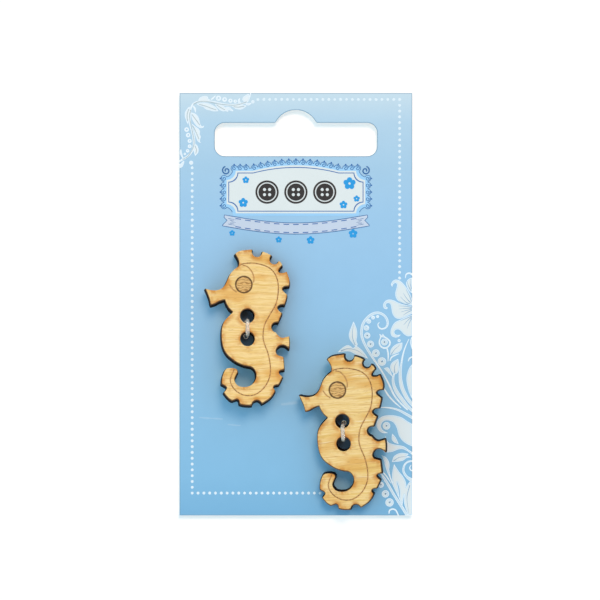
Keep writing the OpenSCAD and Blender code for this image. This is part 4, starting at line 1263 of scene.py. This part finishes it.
for pattern, start, end, strength, colour in (
    (patches, 0.50, 0.68, 0.80, (230, 174, 86)),
    (fibres, 0.35, 0.75, 0.35, (212, 166, 98)),
    (lines, 0.585, 0.65, 0.42, (202, 148, 80)),
    (pores, 0.66, 0.74, 0.50, (170, 120, 64)),
):
    mark = ease(birch_veneer, pattern, start, end, 0.0, strength)
    wood = blend_colours(birch_veneer, mark, wood, srgb(*colour))
feed(birch_veneer, out["Colour"], wood)
feed(birch_veneer, out["Fibres"], fibres)
print("group", birch_veneer.name, "has", len(birch_veneer.nodes), "nodes")

# %% [markdown]
# ## What the laser does to wood
# A laser burns as it cuts. The walls turn almost black, the top edge gets a thin dark line, and
# the veneer beside it is toasted for up to a millimetre, more in one place than in the next. The
# eye is not cut but shaded: the beam sweeps over it in close rows, which leaves it tan with
# fine wavy lines. The distance from the outline, kept on the points, drives the burnt edge.

# %% Wood faces
EYE = (-0.66, 8.5, 0.0)


def distance_from_eye(tree, spot):
    """Distance from the middle of the eye, measured along the face."""
    return vector_sum(tree, "DISTANCE", vector_sum(tree, "MULTIPLY", spot, (1, 1, 0)), EYE)


def veneer_face(name, shift):
    """The flat faces of a button, with its eye, its grooves' smoke, its burnt edge and painted
    shade.
    """
    made, tree, shader = new_material(name)
    spot = own_value(tree, "button_mm", "Vector")
    xyz = node(tree, "ShaderNodeSeparateXYZ", {"Vector": spot}).outputs
    on_front = ease(tree, xyz["Z"], -0.5, -0.2)
    from_eye = distance_from_eye(tree, spot)
    veneer = use_group(tree, birch_veneer, {"Vector": spot, "Shift": shift})

    wander = streaked(tree, spot, (0.7, 1.1, 1.0), 3)
    rows = sums(tree, "ADD", times(tree, xyz["Y"], 12.0), times(tree, wander, 17.0))
    rows = ease(tree, sums(tree, "SINE", rows), 0.0, 1.0)
    tan = blend_colours(tree, rows, srgb(221, 176, 108), srgb(158, 106, 52))
    eye = times(tree, ease(tree, from_eye, 1.42, 1.56, 1.0, 0.0), on_front)
    colour = blend_colours(tree, times(tree, eye, 0.85), veneer["Colour"], tan)

    patchy = ease(tree, noise(tree, spot, 0.42, 3, 0.6), 0.42, 0.60, 0.12, 1.0)
    toast = times(tree, ease(tree, own_value(tree, "rim"), 0.05, 1.2, 0.95, 0.0), patchy)
    colour = blend_colours(tree, toast, colour, srgb(204, 134, 54))

    groove = own_value(tree, "groove")
    smoke = times(tree, ease(tree, groove, 0.02, 0.20, 0.15, 0.0), on_front)
    colour = blend_colours(tree, smoke, colour, srgb(190, 132, 72))
    ring = times(tree, ease(tree, groove, 0.02, 0.13, 0.75, 0.0), on_front)
    ring = times(tree, ring, ease(tree, from_eye, 1.75, 1.85, 1.0, 0.0))
    ring = times(tree, ring, ease(tree, wander, 0.35, 0.6, 0.45, 1.0))
    colour = blend_colours(tree, ring, colour, srgb(84, 52, 26))

    # The dark edge is the real burnt line and, along the lower edges, painted shade.
    burn_and_shade = sums(tree, "ADD", own_value(tree, "char"), times(tree, veneer["Fibres"], 0.08))
    burnt = ease(tree, burn_and_shade, 0.05, 0.17, 0.9, 0.0)
    colour = blend_colours(tree, burnt, colour, srgb(74, 46, 28))
    dull = ease(tree, veneer["Fibres"], 0.3, 0.8, 0.55, 0.72)
    relief = sums(tree, "SUBTRACT", times(tree, veneer["Fibres"], -0.6), burnt)
    surface(tree, shader, colour, dull, relief, 0.02 * MM, specular=0.25)
    return made


veneer_upper = veneer_face("veneer_upper", (12.0, 3.0, 0.0))
veneer_lower = veneer_face("veneer_lower", (57.0, 21.0, 0.0))
print(veneer_upper.name, "has", len(veneer_upper.node_tree.nodes), "nodes")

# %% [markdown]
# ## Charred walls and engraved lines
# The beam leaves upright streaks in the char of a wall, the plies show through it as faint bands,
# and the glue between them, at each whole millimetre, chars blackest. An engraved line is only
# browned. It is darkest in the ring round the eye, faint on the rest of the head and brown again
# from the neck down.

# %% Walls
charred_wall, tree, shader = new_material("charred_wall")
spot = own_value(tree, "button_mm", "Vector")
depth = node(tree, "ShaderNodeSeparateXYZ", {"Vector": spot}).outputs["Z"]
beam = streaked(tree, spot, (7.0, 7.0, 0.5), 3, 0.7)
plies = streaked(tree, spot, (0.15, 0.15, 2.4), 3, 0.6)
soot = ramp(
    tree,
    sums(tree, "ADD", times(tree, beam, 0.6), times(tree, plies, 0.45)),
    [(0.35, (14, 11, 10)), (0.52, (29, 21, 17)), (0.66, (56, 38, 27)), (0.8, (92, 63, 42))],
)
glue = sums(tree, "ABSOLUTE", sums(tree, "SUBTRACT", sums(tree, "FRACT", depth), 0.5))
glue = ease(tree, glue, 0.42, 0.5, 0.0, 0.7)
soot = blend_colours(tree, glue, soot, srgb(14, 11, 11))
dull = ease(tree, beam, 0.3, 0.8, 0.6, 0.9)
surface(tree, shader, soot, dull, beam, 0.03 * MM, specular=0.06)
print(charred_wall.name, "has", len(tree.nodes), "nodes")

# %% Engraved lines
engraved_line, tree, shader = new_material("engraved_line")
spot = own_value(tree, "button_mm", "Vector")
from_eye = distance_from_eye(tree, spot)
near_eye = ease(tree, from_eye, 1.8, 2.0, 0.8, 0.0)
faint = ease(tree, from_eye, 3.6, 4.2, 0.6, 0.0)
pulse = noise(tree, spot, 2.5, 3)
brown = blend_colours(tree, ease(tree, pulse, 0.40, 0.60), srgb(156, 110, 64), srgb(204, 156, 96))
brown = blend_colours(tree, faint, brown, srgb(214, 168, 106))
brown = blend_colours(tree, near_eye, brown, srgb(44, 26, 14))
surface(tree, shader, brown, ease(tree, pulse, 0.3, 0.7, 0.7, 0.9), pulse, 0.02 * MM)
print(engraved_line.name, "has", len(tree.nodes), "nodes")

# %% [markdown]
# ## The buttons
# Each button is the CAD solid with its two flat faces filled again, so it keeps its outline,
# holes and engraved grooves. It leans on the card, and its finish needs to know where its own
# face is, so the script turns its points back into the button's frame first.

# %% The frame of a button
UPPER_PLACE, UPPER_LEAN = (-9.50, -4.61), (-5.0, 4.5, 0.0)
LOWER_PLACE, LOWER_LEAN = (9.24, -25.25), (5.0, -4.5, 2.6)


def button_frame(points, place, lean):
    """The frame of a button: its origin is in its face, between the holes."""
    about_x, about_y, about_z = (math.radians(angle) for angle in lean)
    turn = Matrix.Rotation(about_z, 3, "Z") @ Matrix.Rotation(about_y, 3, "Y")
    turn = turn @ Matrix.Rotation(about_x, 3, "X")
    level = turn.transposed()
    face = max((level @ p).z for p in points)
    x, y = place[0] * MM, place[1] * MM
    z = (face - level[2][0] * x - level[2][1] * y) / level[2][2]
    return Matrix.Translation((x, y, z)) @ turn.to_4x4()


print("the buttons lean by", UPPER_LEAN, "and", LOWER_LEAN, "degrees about X, Y and Z")

# %% [markdown]
# ## The taper of the cut
# A laser cuts a wider slot at the top of the sheet than at its foot, and seldom stands quite
# upright. So the foot of each wall lies a fifth of a millimetre further out, and the burnt walls
# show all round the face as a dark line, as they do in the photograph. The sewing holes hardly
# show their walls there, so they taper much less.

# %% Tapered walls
HOLES = ((0.0, 2.25), (0.0, -2.25))
HOLE_REACH = 1.5
WALL_TAPER, HOLE_TAPER = 0.20, 0.03
UPPER_BEAM, LOWER_BEAM = (0.10, -0.07), (-0.06, -0.20)
ON_FACE = 0.002


def splay(walls, depth, own, beam_lean):
    """Moves the foot of each wall outwards, and all feet the way the beam leant."""
    turn = own.to_3x3()
    up = turn @ Vector((0, 0, 1))
    foot = min(depth.values()) + ON_FACE
    back = own.inverted()
    outward = {}
    for f in walls:
        for v in f.verts:
            if depth[v] < foot:
                outward[v] = outward.get(v, Vector()) + f.normal * f.calc_area()
    for v, way in outward.items():
        spot = back @ v.co / MM
        way = (way - up * way.dot(up)).normalized()
        if any(math.hypot(spot.x - x, spot.y - y) < HOLE_REACH for x, y in HOLES):
            v.co += way * HOLE_TAPER * MM
        else:
            v.co += (way * WALL_TAPER + turn @ Vector((*beam_lean, 0))) * MM


print("feet of the walls go out by", WALL_TAPER, "mm, and of the holes by", HOLE_TAPER, "mm")

# %% [markdown]
# ## From CAD solid to seahorse
# The faces of a button are told apart by their depth in its own frame: the face on top, the one
# underneath, the shallow grooves, and all the rest is wall. Each point then keeps four values:
# its own millimetres, its distance from the outline, its distance from a groove, and one for the
# dark edge. That last one is the distance measured a little lower down, which widens the dark
# edge along the lower edges. The thin dark line all round is the real burnt edge, and the extra
# width along the lower edges is painted shade, where the walls and the card below them are shaded.
# That last one is the distance measured a little lower down, which makes the burnt
# edge wider along the lower edges, where the smoke drifted over the face.

# %% Buttons
GROOVE_LIMIT = 0.3
# How far down the burnt edge is measured, which paints shade along the lower edges.
SHADE_DRIFT = 0.14
TOP_PITCH, UNDER_PITCH = 0.36, 0.5


def button(name, node_name, place, lean, beam_lean, face_material):
    """A seahorse button with values on its points. Gives its frame."""
    mesh = merged_copy(node_name)
    own = button_frame([v.co for v in mesh.verts], place, lean)
    flat = own.inverted()
    depth = {v: (flat @ v.co).z / MM for v in mesh.verts}
    thickness = -min(depth.values())
    top = {f for f in mesh.faces if all(depth[v] > -ON_FACE for v in f.verts)}
    under = {f for f in mesh.faces if all(depth[v] < ON_FACE - thickness for v in f.verts)}
    shallow = {f for f in mesh.faces if min(depth[v] for v in f.verts) > -GROOVE_LIMIT}
    walls = set(mesh.faces) - shallow - under
    for f in walls:
        f.material_index = 1
    for f in shallow - top:
        f.material_index = 2
    a, b = refill(mesh, [f for f in mesh.faces if f in top], TOP_PITCH, flat)
    c, d = refill(mesh, [f for f in mesh.faces if f in under], UNDER_PITCH, flat)
    print(name, "has", open_edges(mesh), "open edges, thickness", round(thickness, 3), "mm")
    spots = np.array([flat @ v.co for v in mesh.verts]) / MM
    splay(walls, depth, own, beam_lean)
    made = bpy.data.meshes.new(name)
    mesh.to_mesh(made)
    mesh.free()
    groove = distance_to((a + b) / 2, c, d) > 0.02
    # Painted shade: measured lower down, the burnt edge widens along the lower edges.
    lower = spots[:, :2] - (0.0, SHADE_DRIFT)
    char = distance_to(lower, c, d) * np.where(inside(lower, c, d), 1.0, -1.0)
    keep_number(made, "rim", distance_to(spots[:, :2], c, d))
    keep_number(made, "char", char)
    keep_number(made, "groove", distance_to(spots[:, :2], a[groove], b[groove]))
    own_mm = made.attributes.new("button_mm", "FLOAT_VECTOR", "POINT")
    own_mm.data.foreach_set("vector", spots.ravel())
    for material in (face_material, charred_wall, engraved_line):
        made.materials.append(material)
    add_piece(name, made, node_name)
    return own


upper_frame = button(
    "seahorse_upper", "button_upper", UPPER_PLACE, UPPER_LEAN, UPPER_BEAM, veneer_upper
)
lower_frame = button(
    "seahorse_lower", "button_lower", LOWER_PLACE, LOWER_LEAN, LOWER_BEAM, veneer_lower
)

# %% [markdown]
# ## The nylon loops
# A loop of filament comes up through one hole, bends over the bridge of wood and goes down
# through the other. Behind the card each leg ends in a short thick bar that keeps it from
# slipping out. Nylon is milky: light goes in, scatters and comes out again, and its skin is
# smooth.

# %% Nylon
milky_nylon, tree, shader = new_material("milky_nylon")
haze = noise(tree, node(tree, "ShaderNodeTexCoord").outputs["Object"], 900, 3)
milky = ramp(tree, haze, [(0.3, (246, 238, 224)), (0.7, (255, 250, 242))])
surface(tree, shader, milky, ease(tree, haze, 0.3, 0.7, 0.18, 0.30), haze, 0.003 * MM)
shader.inputs["Transmission Weight"].default_value = 0.6
shader.inputs["Subsurface Weight"].default_value = 0.4
shader.inputs["Subsurface Radius"].default_value = (1.0, 0.9, 0.8)
shader.inputs["Subsurface Scale"].default_value = 0.3 * MM
shader.inputs["IOR"].default_value = 1.53
print(milky_nylon.name, "has", len(tree.nodes), "nodes")

# %% [markdown]
# ## The way of the filament
# A tube swept along the loop's own path has the round bends that the CAD solid has. The same tree
# makes the bars: a value on the points of the path thickens them and rounds their ends.

# %% The rule for filament
filament_tree, given = new_tree("filament", ["Thickness"])
way = node(filament_tree, "GeometryNodeMeshToCurve", {"Mesh": given["Geometry"]})
round_section = node(
    filament_tree,
    "GeometryNodeCurvePrimitiveCircle",
    {"Resolution": 24, "Radius": times(filament_tree, given["Thickness"], 0.5)},
)
gauge = own_number(filament_tree, "gauge")
tube = sweep(filament_tree, way.outputs[0], round_section.outputs[0], gauge)
end_tree(filament_tree, tube, given["Material"])
print("tree", filament_tree.name, "has", len(filament_tree.nodes), "nodes")

# %% Nylon loops
FILAMENT = 0.8 * MM
LEG, BEND, RUN = 1.35, 0.6, 0.5
BAR_LENGTH, BAR_HEIGHT = 6.0, 0.5
BAR = [(-0.5, 0.85), (-0.487, 1.12), (-0.47, 1.25), (0.0, 1.25)]
BAR += [(-at, thick) for at, thick in BAR[2::-1]]


def nylon_loop(name, node_name, own, turn):
    """A loop of filament with its two bars, in one piece."""
    points, edges, gauges = [], [], []

    def add_path(path, widths):
        first = len(points)
        points.extend(path)
        gauges.extend(widths)
        edges.extend((first + k, first + k + 1) for k in range(len(path) - 1))

    down = own.to_3x3() @ Vector((0, 0, -1))
    feet = []
    for side in (-1, 1):
        high = own @ Vector((0, side * LEG * MM, 0))
        feet.append(high + down * ((high.z - BAR_HEIGHT * MM) / -down.z))
    loop = [feet[0]]
    for side, angles in ((-1, range(180, 89, -15)), (1, range(90, -1, -15))):
        for angle in angles:
            c, s = math.cos(math.radians(angle)), math.sin(math.radians(angle))
            y = side * (LEG - BEND) + BEND * c
            loop.append(own @ (Vector((0, y, RUN - BEND + BEND * s)) * MM))
    loop.append(feet[1])
    add_path(loop, [1.0] * len(loop))
    across = Matrix.Rotation(math.radians(turn), 3, "Z") @ Vector((1, 0, 0))
    for foot in feet:
        bar = [foot + across * (BAR_LENGTH * MM * at) for at, _ in BAR]
        add_path(bar, [thick for _, thick in BAR])
    sizes = {"Thickness": FILAMENT}
    mesh = grow(name, points, edges, filament_tree, sizes, milky_nylon, {"gauge": gauges})
    mesh.polygons.foreach_set("use_smooth", [len(p.vertices) < 5 for p in mesh.polygons])
    add_piece(name, mesh, node_name)


nylon_loop("nylon_upper", "staple_upper", upper_frame, UPPER_LEAN[2])
nylon_loop("nylon_lower", "staple_lower", lower_frame, LOWER_LEAN[2])
